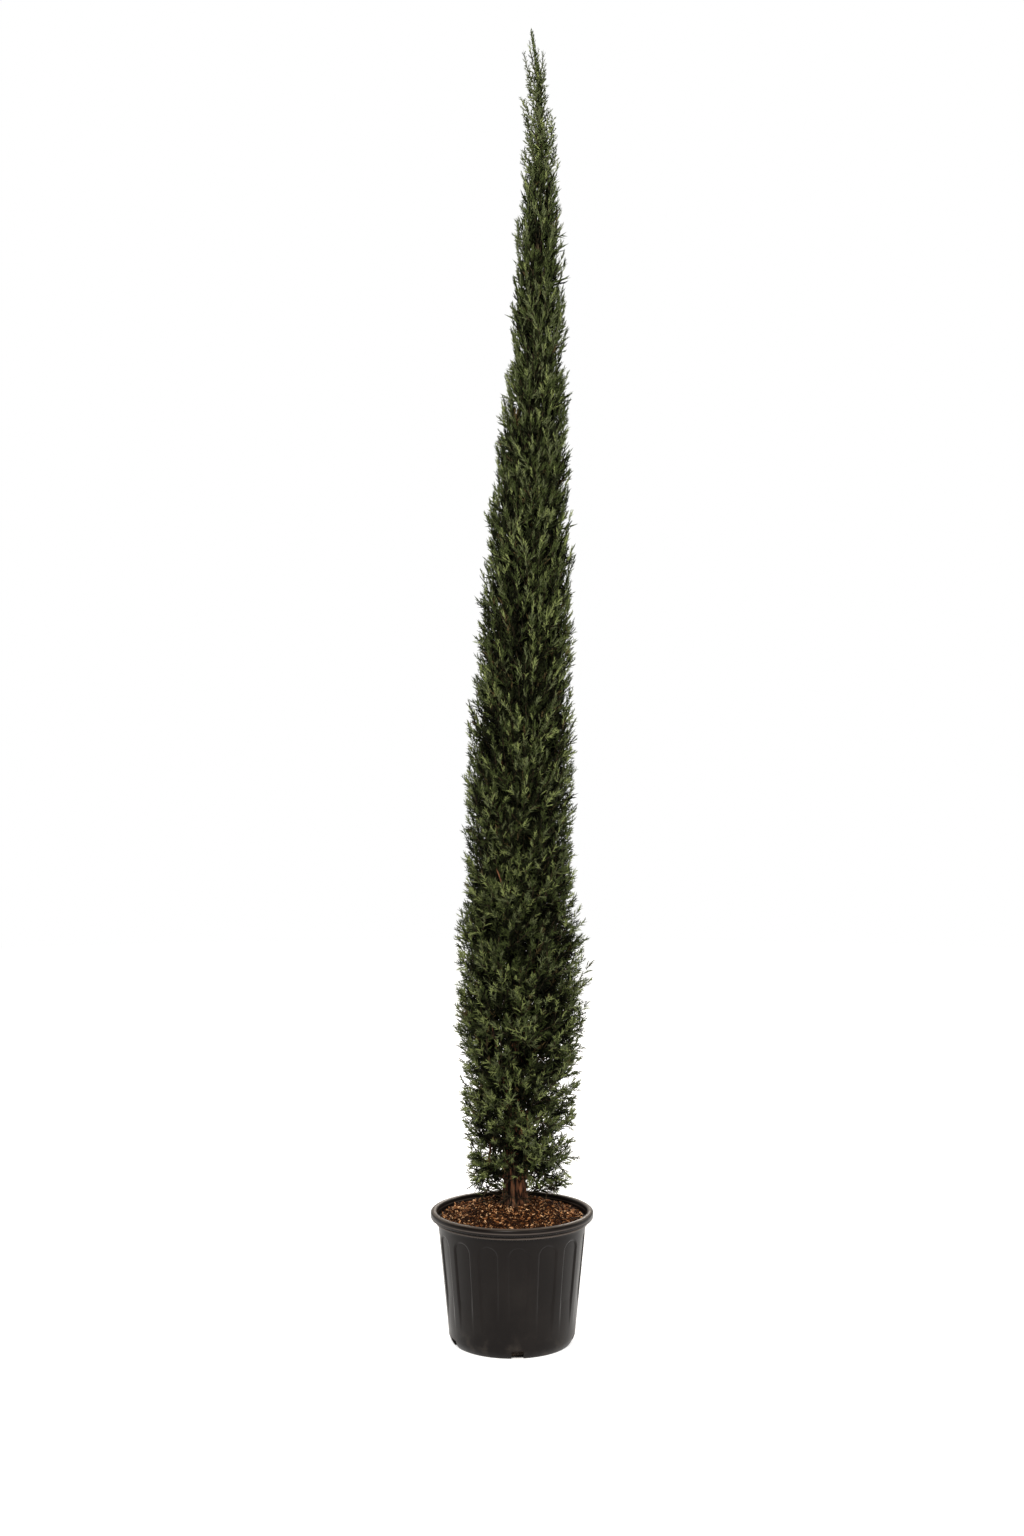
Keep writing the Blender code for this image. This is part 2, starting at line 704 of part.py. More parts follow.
def build_leader(name, collection, finish, meshes):
    """The sparse top: the trunk's own shoot with short side sprays, up to the tip."""
    foot = TRUNK_TOP + CLEAR
    top = LEADER_STEM_END
    rings = []
    for share in (0.0, 0.3, 0.6, 0.85, 1.0):
        height = mix(foot, top, share)
        ring = circle(mix(TRUNK_TIP_RADIUS, LEADER_TIP_RADIUS, share), 0.0, 5)
        rings.append([axis_at(height) + Vector(point) for point in ring])
    stem = loft(rings, name, collection, finish)
    space = Space(LEADER_FOOT, 2 * TIP, 0.0, 0.0, 0.0, math.pi, 1.0)
    mass = Mass(space, stem, meshes, SEED + 900)
    for i in range(LEADER_SPRAYS):
        share = (i + 0.5) / LEADER_SPRAYS
        height = mix(foot + 0.010, top - 0.025, share)
        angle = i * GOLDEN_TURN
        outward = Vector((math.cos(angle), math.sin(angle), 0.0))
        aim = (outward + Vector((0.0, 0.0, mix(2.2, 3.6, share)))).normalized()
        mass.spray(axis_at(height) - aim * 0.002, aim, mix(0.60, 0.28, share), mix(1.2, 2.4, share))
    end = axis_at(top)
    aim = (axis_at(TIP) - end).normalized()
    back = 0.016
    length_share = ((axis_at(TIP) - end).length + back) / SPRAY_LENGTH
    mass.place(meshes[1], pose(end - aim * back, aim, 0.4) @ Matrix.Diagonal((0.25, length_share, 0.6, 1.0)))
    mass.join()


def main():
    for obj in list(bpy.data.objects):
        bpy.data.objects.remove(obj)
    plant = bpy.data.collections.new("potted_italian_cypress")
    cutters = bpy.data.collections.new("cutters")
    for collection in (plant, cutters):
        bpy.context.scene.collection.children.link(collection)

    build_pot(plant, cutters)
    build_root_ball(plant)
    build_mulch(plant)

    bark = material("bark", BARK_BROWN, 0.85)
    foliage = material("foliage", GREEN, 0.75)
    trunk = build_trunk(plant, bark)
    bpy.context.view_layer.update()
    trunk_surface = BVHTree.FromObject(trunk, bpy.context.evaluated_depsgraph_get())
    meshes = (twig_mesh(foliage), spray_mesh(foliage))
    for i, space in enumerate(spaces(), start=1):
        bough = build_bough(space, trunk_surface, f"bough_{i:02d}", plant, bark)
        build_mass(space, bough, f"foliage_{i:02d}", plant, foliage, meshes, SEED + 10 * i)
    build_leader("foliage_leader", plant, foliage, meshes)
    for mesh in meshes:
        bpy.data.meshes.remove(mesh)


main()
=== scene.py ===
"""Looks of the potted columnar Italian cypress, built round its solids.

Metres, +Z up, front towards -Y. The pot, the mulch, the trunk and the boughs are modelled anew with
their real relief. Each mass of foliage is replaced by a stem, forking twigs and cord-like sprigs that
grow by the same rule as the solid's, carried on to finer twigs.
"""

import json
import logging
import math
import random
from collections.abc import Callable, Iterable, Sequence
from dataclasses import dataclass, field
from enum import Enum
from functools import cached_property

import bpy
import numpy as np
from mathutils import Matrix, Vector, noise

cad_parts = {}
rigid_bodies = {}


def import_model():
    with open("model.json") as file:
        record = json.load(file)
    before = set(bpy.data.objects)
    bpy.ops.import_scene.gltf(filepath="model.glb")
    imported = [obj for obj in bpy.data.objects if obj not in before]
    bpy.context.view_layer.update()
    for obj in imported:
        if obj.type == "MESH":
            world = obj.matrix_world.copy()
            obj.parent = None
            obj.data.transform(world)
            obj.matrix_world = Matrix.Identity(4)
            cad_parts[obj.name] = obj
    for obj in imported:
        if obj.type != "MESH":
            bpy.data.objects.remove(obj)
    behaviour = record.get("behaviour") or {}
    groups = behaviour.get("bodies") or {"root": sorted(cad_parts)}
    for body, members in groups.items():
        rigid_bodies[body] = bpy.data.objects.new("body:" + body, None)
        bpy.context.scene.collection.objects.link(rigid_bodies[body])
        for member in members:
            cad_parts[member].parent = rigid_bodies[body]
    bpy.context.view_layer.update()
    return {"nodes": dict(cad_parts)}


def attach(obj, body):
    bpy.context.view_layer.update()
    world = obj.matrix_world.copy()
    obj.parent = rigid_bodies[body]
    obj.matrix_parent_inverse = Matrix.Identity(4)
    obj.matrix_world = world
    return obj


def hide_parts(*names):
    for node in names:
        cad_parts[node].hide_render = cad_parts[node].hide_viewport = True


LOG = logging.getLogger("cypress")
BODY = "root"
GOLDEN_TURN = math.radians(137.5)
UP = Vector((0.0, 0.0, 1.0))
LIMB_SIDE = Vector((0.31, 0.87, 0.38))  # across a limb, and along none of them
MERGE_DISTANCE = 0.00001
CAMERA_DISTANCE = 3.0
CAMERA_HEIGHT = 0.963

SEED = 2210
CHIP_SHAPE_SEED = SEED + 5
CHIP_SEED = SEED + 6
SPRIG_SEED = SEED + 20
MASS_SEED_STEP = 31
LEADER_SEED = SEED + 999

Colour = tuple[float, float, float]
Point = tuple[float, float, float]
Span = tuple[float, float]  # the two ends of a range


class Slot(Enum):
    """The record's material slots."""

    POT = "pot_plastic"
    SOIL = "potting_mix"
    CHIPS = "bark_chips"
    BARK = "bark"
    FOLIAGE = "foliage"


def smooth(share: float) -> float:
    """Ease from 0 to 1, level at both ends."""
    share = min(max(share, 0.0), 1.0)
    return share * share * (3 - 2 * share)


def mix(low: float, high: float, share: float) -> float:
    """The value a share of the way from low to high."""
    return low + (high - low) * share


def bell(distance: float, spread: float) -> float:
    """A rounded peak: 1 at distance 0, fading out past the spread."""
    return math.exp(-((distance / spread) ** 2))


def towards(heading: float) -> Vector:
    """The level direction of a heading."""
    return Vector((math.cos(heading), math.sin(heading), 0.0))


@dataclass(frozen=True)
class Ramp:
    """An eased step: 0 at its start and 1 at the end of its run, which may go down as well as up."""

    start: float
    run: float

    def at(self, value: float) -> float:
        """The step's height at a value."""
        return smooth((value - self.start) / self.run)


# Materials


@dataclass(frozen=True)
class Value:
    """An output of a node, which the finishes add, take away and multiply like a number."""

    shading: "Shading"
    socket: bpy.types.NodeSocket

    def __add__(self, other: "Value | float") -> "Value":
        """The sum of the two."""
        return self.shading.maths("ADD", self, other)

    def __radd__(self, other: float) -> "Value":
        """The sum, with the number first."""
        return self.shading.maths("ADD", other, self)

    def __rsub__(self, other: float) -> "Value":
        """The number less the value."""
        return self.shading.maths("SUBTRACT", other, self)

    def __mul__(self, other: "Value | float") -> "Value":
        """The product of the two."""
        return self.shading.maths("MULTIPLY", self, other)

    def between(self, low: float, high: float) -> "Value":
        """A smooth step: 0 at low, 1 at high."""
        step = self.shading.node(
            "ShaderNodeMapRange",
            {"interpolation_type": "SMOOTHSTEP"},
            {"Value": self, "From Min": low, "From Max": high},
        )
        return Value(self.shading, step.outputs["Result"])

    def within(self, rise: Span, fall: Span) -> "Value":
        """A band: 1 from the end of a rise to the start of a fall, 0 outside the two."""
        return self.between(*rise) * (1.0 - self.between(*fall))


class Shading:
    """The node tree of one material, round its Principled shader."""

    def __init__(self, name: str) -> None:
        """Start a material with that name."""
        self.material = bpy.data.materials.new(name)
        self.material.use_nodes = True
        self.tree = self.material.node_tree
        self.shader = self.tree.nodes["Principled BSDF"]
        self.place = self.node("ShaderNodeTexCoord").outputs["Object"]

    def node(
        self, kind: str, settings: dict[str, object] | None = None, inputs: dict[str, object] | None = None
    ) -> bpy.types.Node:
        """Make one node.

        Args:
            kind: The node's type.
            settings: Its own settings, which are set first.
            inputs: Numbers, colours, sockets or values for its inputs, by name or index.

        Returns:
            The node.
        """
        made = self.tree.nodes.new(kind)
        for key, setting in (settings or {}).items():
            setattr(made, key, setting)
        for key, given in (inputs or {}).items():
            self.feed(made.inputs[key], given)
        return made

    def feed(self, target: bpy.types.NodeSocket, given: object) -> None:
        """Link a socket or value to an input, or set a number or colour on it."""
        if isinstance(given, Value):
            given = given.socket
        if isinstance(given, bpy.types.NodeSocket):
            self.tree.links.new(given, target)
        elif isinstance(given, tuple) and target.type == "RGBA":
            target.default_value = (*given, 1.0)
        else:
            target.default_value = given

    def maths(self, operation: str, first: "Value | float", second: "Value | float") -> Value:
        """One step of arithmetic on two values."""
        made = self.node("ShaderNodeMath", {"operation": operation}, {0: first, 1: second})
        return Value(self, made.outputs[0])

    def stretched(self, scale: Point, turn: Point = (0.0, 0.0, 0.0)) -> bpy.types.NodeSocket:
        """Object coordinates, scaled and turned."""
        given = {"Vector": self.place, "Scale": scale, "Rotation": turn}
        return self.node("ShaderNodeMapping", None, given).outputs["Vector"]

    def height_here(self) -> Value:
        """The height above the floor, in metres."""
        made = self.node("ShaderNodeSeparateXYZ", None, {"Vector": self.place})
        return Value(self, made.outputs["Z"])

    def noise(self, scale: float, detail: float = 3.0, place: bpy.types.NodeSocket | None = None) -> Value:
        """A cloudy pattern from 0 to 1, that many waves a metre."""
        given = {"Vector": place or self.place, "Scale": scale, "Detail": detail}
        return Value(self, self.node("ShaderNodeTexNoise", None, given).outputs["Fac"])

    def cells(self, scale: float) -> Value:
        """The distance from the middles of random cells, that many a metre."""
        made = self.node("ShaderNodeTexVoronoi", None, {"Vector": self.place, "Scale": scale})
        return Value(self, made.outputs["Distance"])

    def blend(self, share: Value, low: object, high: object) -> bpy.types.NodeSocket:
        """Two colours mixed by a share."""
        made = self.node("ShaderNodeMix", {"data_type": "RGBA"}, {"Factor": share, 6: low, 7: high})
        return made.outputs[2]

    def dress(
        self,
        colour: object,
        roughness: object,
        relief: Value | None = None,
        depth: float = 0.0,
        gloss: float = 0.5,
    ) -> None:
        """Feed the shader.

        Args:
            colour: Base colour, as a colour or a socket.
            roughness: Roughness, as a number or a value.
            relief: The pattern that raises the surface.
            depth: How far it raises it, in metres.
            gloss: How strongly it mirrors, 0.5 for common plastic.
        """
        self.feed(self.shader.inputs["Specular IOR Level"], gloss)
        self.feed(self.shader.inputs["Base Color"], colour)
        self.feed(self.shader.inputs["Roughness"], roughness)
        if relief is not None:
            bump = self.node("ShaderNodeBump", None, {"Height": relief, "Distance": depth})
            self.feed(self.shader.inputs["Normal"], bump.outputs["Normal"])


@dataclass(frozen=True)
class PotPlastic:
    """Satin moulded plastic, brown-black, with dust low down, faint scuffs and painted highlight lines.

    The crest, edge and ring are the heights where a light colour paints the highlight lines on the lip
    and on the ring under it.
    """

    colour: Colour = (0.0050, 0.0036, 0.0032)
    worn: Colour = (0.0145, 0.0118, 0.0104)
    # Light colour that paints the highlight lines on the lip's crest, its outer face and the step ring
    painted_highlight: Colour = (0.1100, 0.0920, 0.0800)
    dust: Colour = (0.060, 0.050, 0.042)
    dust_top: float = 0.05
    crest_highlight_rise: Span = (0.2176, 0.2194)
    edge_highlight_rise: Span = (0.2108, 0.2118)
    edge_highlight_fall: Span = (0.2126, 0.2136)
    ring_highlight_rise: Span = (0.2010, 0.2018)
    ring_highlight_fall: Span = (0.2036, 0.2042)
    crest_highlight_share: float = 0.70
    edge_highlight_share: float = 0.50
    roughness: float = 0.30
    gloss: float = 0.13
    grain: float = 1400.0
    grain_depth: float = 0.00005

    def material(self) -> bpy.types.Material:
        """The finished material."""
        shading = Shading(Slot.POT.value)
        height = shading.height_here()
        clouds = shading.noise(14.0, 4.0).between(0.40, 0.75)
        scuffs = shading.noise(60.0, 5.0, shading.stretched((1.0, 1.0, 0.12))).between(0.58, 0.80)
        low = 1.0 - height.between(0.0, self.dust_top)
        dusty = shading.noise(45.0, 4.0).between(0.45, 0.75) * low * 0.5
        # Painted highlights: light bands where the lip's crest, its outer face and the step ring catch the
        # light
        crest = height.between(*self.crest_highlight_rise) * self.crest_highlight_share
        edge = height.within(self.edge_highlight_rise, self.edge_highlight_fall) * self.edge_highlight_share
        ring = height.within(self.ring_highlight_rise, self.ring_highlight_fall)
        plain = shading.blend(clouds * 0.45 + scuffs * 0.20, self.colour, self.worn)
        plain = shading.blend(crest + edge + ring, plain, self.painted_highlight)
        shading.dress(
            shading.blend(dusty, plain, self.dust),
            self.roughness + clouds * 0.08 + dusty * 0.34 + scuffs * 0.07,
            shading.noise(self.grain, 2.0),
            self.grain_depth,
            self.gloss,
        )
        return shading.material


@dataclass(frozen=True)
class PottingMix:
    """Dark crumbly compost."""

    colour: Colour = (0.018, 0.011, 0.007)
    crumb: Colour = (0.070, 0.042, 0.025)
    roughness: float = 0.95
    crumbs: float = 380.0
    crumb_depth: float = 0.0015

    def material(self) -> bpy.types.Material:
        """The finished material."""
        shading = Shading(Slot.SOIL.value)
        flecks = shading.noise(160.0, 4.0).between(0.50, 0.72)
        colour = shading.blend(flecks, self.colour, self.crumb)
        shading.dress(colour, self.roughness, shading.cells(self.crumbs), self.crumb_depth)
        return shading.material


@dataclass(frozen=True)
class ChipWood:
    """One tone of bark chip, with its grain and weathering."""

    name: str
    colour: Colour
    dark_share: float = 0.35
    grain: float = 900.0
    grain_depth: float = 0.0004
    roughness: float = 0.80
    gloss: float = 0.15

    def material(self) -> bpy.types.Material:
        """The finished material."""
        shading = Shading(self.name)
        grain = shading.noise(self.grain, 4.0, shading.stretched((1.0, 0.35, 0.6), (0.3, 0.5, 0.7)))
        stain = shading.noise(190.0, 3.0).between(0.42, 0.68)
        dark = tuple(channel * self.dark_share for channel in self.colour)
        shading.dress(
            shading.blend(stain * 0.55 + grain.between(0.35, 0.65) * 0.35, self.colour, dark),
            self.roughness + grain * 0.12,
            grain,
            self.grain_depth,
            self.gloss,
        )
        return shading.material


@dataclass(frozen=True)
class Bark:
    """Stringy red-brown bark, in long strips with dark fissures, younger and greener high up."""

    name: str = "bark"
    ridge: Colour = (0.205, 0.086, 0.043)
    grey: Colour = (0.128, 0.070, 0.041)
    # Near-black fissure colour: partly the bark's own darker colour, partly painted shade in the cracks
    fissure: Colour = (0.006, 0.0030, 0.0018)
    young: Colour = (0.046, 0.036, 0.018)
    young_heights: Span = (0.8, 1.5)
    strips: float = 300.0
    strip_squeeze: float = 0.09
    strip_depth: float = 0.0022
    roughness: float = 0.90
    gloss: float = 0.15

    def material(self) -> bpy.types.Material:
        """The finished material."""
        shading = Shading(self.name)
        along = shading.stretched((1.0, 1.0, self.strip_squeeze))
        strips = shading.noise(self.strips, 5.0, along)
        cracks = shading.noise(self.strips * 0.45, 3.0, along)
        weather = shading.noise(28.0, 3.0).between(0.42, 0.66)
        ridge = shading.blend(weather, self.ridge, self.grey)
        ridge = shading.blend(shading.height_here().between(*self.young_heights), ridge, self.young)
        # The fissure colour lies where the strips close and the relief sinks, partly as painted shade
        closed_share = (strips * 0.6 + cracks * 0.4).between(0.45, 0.62)
        shading.dress(
            shading.blend(closed_share, self.fissure, ridge),
            self.roughness - strips * 0.12,
            strips * 0.7 + cracks * 0.3,
            self.strip_depth,
            self.gloss,
        )
        return shading.material


TWIG_BARK = Bark(
    name="twig_bark",
    ridge=(0.066, 0.047, 0.025),
    grey=(0.058, 0.052, 0.028),
    fissure=(0.022, 0.015, 0.008),
)


@dataclass(frozen=True)
class LeafGreen:
    """One plain green of the scale leaves, dealt out by sprig; some are shaded or lit copies as painted
    shade and light.
    """

    name: str
    colour: Colour
    roughness: float = 0.60
    gloss: float = 0.06

    def material(self) -> bpy.types.Material:
        """The finished material."""
        shading = Shading(self.name)
        shading.dress(self.colour, self.roughness, gloss=self.gloss)
        return shading.material


# The inner and deep greens are shaded copies that paint the shade inside the crown, and the light green is a
# lit copy that paints light at its outline; the mid, grey and dry greens are the leaves' own
GREENS = (
    LeafGreen("leaf_inner_painted_shade", (0.0036, 0.0046, 0.0018)),
    LeafGreen("leaf_deep_painted_shade", (0.0145, 0.0192, 0.0068)),
    LeafGreen("leaf_mid", (0.0505, 0.0670, 0.0212)),
    LeafGreen("leaf_grey", (0.1030, 0.1230, 0.0570)),
    LeafGreen("leaf_painted_light", (0.2050, 0.2450, 0.0900)),
    LeafGreen("leaf_dry", (0.0850, 0.0640, 0.0280)),
)
HIGH_UP = Ramp(1.15, 0.60)
LOW_DOWN = Ramp(0.85, -0.45)


@dataclass(frozen=True)
class GreenShares:
    """Shares of the greens, in their order, at one depth in the crown: half-way up, high up, low down."""

    level: tuple[float, ...]
    high: tuple[float, ...]
    low: tuple[float, ...]

    def at(self, height: float) -> list[float]:
        """The shares at a height."""
        high_up, low_down = HIGH_UP.at(height), LOW_DOWN.at(height)
        rows = zip(self.level, self.high, self.low)
        return [mix(mix(level, high, high_up), low, low_down) for level, high, low in rows]


# By depth, inner sprigs take the darker greens as painted shade and outer sprigs the lighter greens as
# painted light
INNER_SHARES = GreenShares(
    level=(0.66, 0.29, 0.02, 0.00, 0.00, 0.03),
    high=(0.30, 0.50, 0.18, 0.00, 0.00, 0.02),
    low=(0.85, 0.12, 0.00, 0.00, 0.00, 0.03),
)
MIDDLE_SHARES = GreenShares(
    level=(0.33, 0.42, 0.18, 0.04, 0.01, 0.02),
    high=(0.14, 0.40, 0.30, 0.14, 0.00, 0.02),
    low=(0.42, 0.37, 0.15, 0.03, 0.01, 0.02),
)
OUTER_SHARES = GreenShares(
    level=(0.00, 0.15, 0.37, 0.26, 0.21, 0.01),
    high=(0.00, 0.11, 0.40, 0.40, 0.09, 0.00),
    low=(0.00, 0.13, 0.32, 0.25, 0.29, 0.01),
)
CHIP_WOODS = (
    ChipWood("chip_dark", (0.0240, 0.0085, 0.0030)),
    ChipWood("chip_brown", (0.1000, 0.0370, 0.0130)),
    ChipWood("chip_orange", (0.2500, 0.0960, 0.0320)),
    ChipWood("chip_tan", (0.5600, 0.2700, 0.1150)),
    ChipWood("chip_pale", (0.9200, 0.5700, 0.3100)),
)
CHIP_SHARES = (0.45, 0.23, 0.14, 0.10, 0.08)


# Modelling


def deselect_all() -> None:
    """Leave nothing selected."""
    for obj in bpy.context.view_layer.objects:
        obj.select_set(False)


def begin(name: str, adder: Callable[..., object], **sizes: object) -> bpy.types.Object:
    """Add a primitive at its size and place, and open it in edit mode with all of it selected.

    Args:
        name: The new piece's name.
        adder: The primitive's operator.
        sizes: The operator's own settings.

    Returns:
        The new object.
    """
    deselect_all()
    adder(**sizes)
    obj = bpy.context.active_object
    obj.name = obj.data.name = name
    bpy.ops.object.transform_apply(location=True, rotation=True, scale=True)
    bpy.ops.object.mode_set(mode="EDIT")
    bpy.ops.mesh.select_all(action="SELECT")
    return obj


def done(merges: bool = True) -> None:
    """Leave edit mode, with the faces turned outwards.

    Args:
        merges: Whether points that lie together are merged first.
    """
    bpy.ops.mesh.select_all(action="SELECT")
    if merges:
        bpy.ops.mesh.remove_doubles(threshold=MERGE_DISTANCE)
    bpy.ops.mesh.normals_make_consistent(inside=False)
    bpy.ops.object.mode_set(mode="OBJECT")


def only(obj: bpy.types.Object) -> None:
    """Select that object alone."""
    deselect_all()
    obj.select_set(True)
    bpy.context.view_layer.objects.active = obj


def press(obj: bpy.types.Object, depth: float, share: Callable[[Vector], float]) -> None:
    """Press a mesh in along its normals, by a Displace modifier that is applied.

    Args:
        obj: The mesh object.
        depth: How far a share of 1 is pressed in; less than 0 raises it.
        share: The share at a place, from 0 to 1.
    """
    group = obj.vertex_groups.new(name="pressed")
    for vertex in obj.data.vertices:
        weight = share(vertex.co)
        if weight > 0:
            group.add([vertex.index], min(weight, 1.0), "REPLACE")
    only(obj)
    displace = obj.modifiers.new("press", "DISPLACE")
    displace.vertex_group = group.name
    displace.mid_level = 0.0
    displace.strength = -depth
    bpy.ops.object.modifier_apply(modifier=displace.name)
    obj.vertex_groups.clear()


def turned_shell(name: str, profile: Sequence[Span], steps: int) -> bpy.types.Object:
    """Draw a profile point by point and spin it about the vertical axis.

    Args:
        name: The new piece's name.
        profile: (radius, height) points.
        steps: Columns of faces round the axis.

    Returns:
        The closed shell.
    """
    radius, height = profile[0]
    obj = begin(name, bpy.ops.mesh.primitive_plane_add, size=0.001, location=(radius, 0.0, height))
    bpy.ops.mesh.merge(type="CENTER")
    for (radius, height), (next_radius, next_height) in zip(profile, profile[1:]):
        step = (next_radius - radius, 0.0, next_height - height)
        bpy.ops.mesh.extrude_region_move(TRANSFORM_OT_translate={"value": step})
    bpy.ops.mesh.select_all(action="SELECT")
    bpy.ops.mesh.spin(steps=steps, angle=2 * math.pi, center=(0.0, 0.0, 0.0), axis=(0.0, 0.0, 1.0))
    done()
    return obj


def finish_piece(
    obj: bpy.types.Object, finishes: Iterable[bpy.types.Material], slot: Slot, *nodes: str
) -> None:
    """Dress a piece, attach it to the body that it rides on, and hide the solids that it stands for.

    Args:
        obj: The piece.
        finishes: Its materials, in order.
        slot: The record's slot for its finish; not used.
        nodes: The solids that it replaces.
    """
    for finish in finishes:
        obj.data.materials.append(finish)
    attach(obj, BODY)
    if nodes:
        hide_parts(*nodes)
    LOG.info("%s: %d faces", obj.name, len(obj.data.polygons))


# Joined meshes of many small copies


@dataclass(frozen=True)
class Shape:
    """A small closed shape of triangles, copied many times."""

    points: np.ndarray
    faces: np.ndarray


@dataclass
class Scatter:
    """Copies of small shapes, gathered to be joined into one mesh."""

    shapes: Sequence[Shape]
    matrices: list[Matrix] = field(default_factory=list)
    kinds: list[int] = field(default_factory=list)
    tones: list[int] = field(default_factory=list)

    def add(self, matrix: Matrix, kind: int, tone: int) -> None:
        """Place one copy of a shape, in one of the finishes."""
        self.matrices.append(matrix)
        self.kinds.append(kind)
        self.tones.append(tone)

    def joined(self, name: str) -> bpy.types.Object:
        """Join all the copies.

        Args:
            name: The mesh object's name.

        Returns:
            One mesh object, the faces of each copy in its own finish.
        """
        matrices = np.array(self.matrices).reshape(-1, 4, 4)
        kinds = np.array(self.kinds)
        tones = np.array(self.tones)
        points, faces, finishes = [], [], []
        start = 0
        for kind, shape in enumerate(self.shapes):
            chosen = matrices[kinds == kind]
            if not len(chosen):
                continue
            moved = np.einsum("nij,vj->nvi", chosen[:, :3, :3], shape.points) + chosen[:, None, :3, 3]
            offsets = start + np.arange(len(chosen)) * len(shape.points)
            faces.append((shape.faces[None, :, :] + offsets[:, None, None]).reshape(-1, 3))
            finishes.append(np.repeat(tones[kinds == kind], len(shape.faces)))
            points.append(moved.reshape(-1, 3))
            start += len(chosen) * len(shape.points)
        arrays = (np.concatenate(rows) for rows in (points, faces, finishes))
        return mesh_from_arrays(name, *arrays)


def mesh_from_arrays(
    name: str, points: np.ndarray, faces: np.ndarray, finishes: np.ndarray | None = None
) -> bpy.types.Object:
    """A smooth-shaded mesh object of triangles.

    Args:
        name: The object's name.
        points: Its points, one row each.
        faces: Three indices a row.
        finishes: The material's index for each face.

    Returns:
        The new object, linked to the scene.
    """
    mesh = bpy.data.meshes.new(name)
    mesh.vertices.add(len(points))
    mesh.vertices.foreach_set("co", points.astype(np.float32).ravel())
    mesh.loops.add(faces.size)
    mesh.loops.foreach_set("vertex_index", faces.astype(np.int32).ravel())
    mesh.polygons.add(len(faces))
    mesh.polygons.foreach_set("loop_start", np.arange(0, faces.size, 3, dtype=np.int32))
    if finishes is not None:
        mesh.polygons.foreach_set("material_index", finishes.astype(np.int32))
    mesh.update(calc_edges=True)
    mesh.validate()
    mesh.shade_smooth()
    obj = bpy.data.objects.new(name, mesh)
    bpy.context.scene.collection.objects.link(obj)
    return obj


def ring_points(middle: Vector, along: Vector, side: Vector, radius: float, sides: int) -> list[Vector]:
    """Points evenly round a middle.

    Args:
        middle: The ring's middle.
        along: The direction that it is square to.
        side: The direction of its first point.
        radius: Its radius.
        sides: Points round it.

    Returns:
        The points, in order.
    """
    across = along.cross(side)
    angles = [2 * math.pi * i / sides for i in range(sides)]
    return [middle + radius * (math.cos(angle) * side + math.sin(angle) * across) for angle in angles]


def limb_shape(path: Sequence[Vector], radii: Sequence[float], sides: int = 3) -> Shape:
    """A closed limb through points, drawn to a point at both ends.

    Args:
        path: Points along the limb, from its root to its tip.
        radii: Its radius at each point between the two ends.
        sides: Points round it.

    Returns:
        The limb's triangles, facing outwards.
    """
    points = [path[0]]
    side = LIMB_SIDE
    for before, here, after, radius in zip(path, path[1:], path[2:], radii):
        along = (after - before).normalized()
        side = (side - along * side.dot(along)).normalized()
        points += ring_points(here, along, side, radius, sides)
    points.append(path[-1])
    faces = []
    for i in range(sides):
        j = (i + 1) % sides
        faces.append((0, 1 + j, 1 + i))
        for ring in range(len(path) - 3):
            low, high = 1 + ring * sides, 1 + (ring + 1) * sides
            faces.append((low + i, low + j, high + j))
            faces.append((low + i, high + j, high + i))
        last = 1 + (len(path) - 3) * sides
        faces.append((last + i, last + j, len(points) - 1))
    return Shape(np.array([tuple(point) for point in points]), np.array(faces))


def cord_shape(root: Vector, tip: Vector, radius: float) -> Shape:
    """A closed three-sided cord.

    Args:
        root: Where it starts, at its thickest.
        tip: The point that it is drawn to.
        radius: Its radius at the root.

    Returns:
        The cord's four triangles, facing outwards.
    """
    along = (tip - root).normalized()
    ring = ring_points(root, along, along.orthogonal().normalized(), radius, 3)
    faces = ((0, 2, 1), (0, 1, 3), (1, 2, 3), (2, 0, 3))
    return Shape(np.array([tuple(point) for point in (*ring, tip)]), np.array(faces))


def joined_shape(shapes: Sequence[Shape]) -> Shape:
    """Several shapes as one."""
    starts = np.cumsum([0] + [len(shape.points) for shape in shapes[:-1]])
    return Shape(
        np.concatenate([shape.points for shape in shapes]),
        np.concatenate([shape.faces + start for shape, start in zip(shapes, starts)]),
    )


# Pot


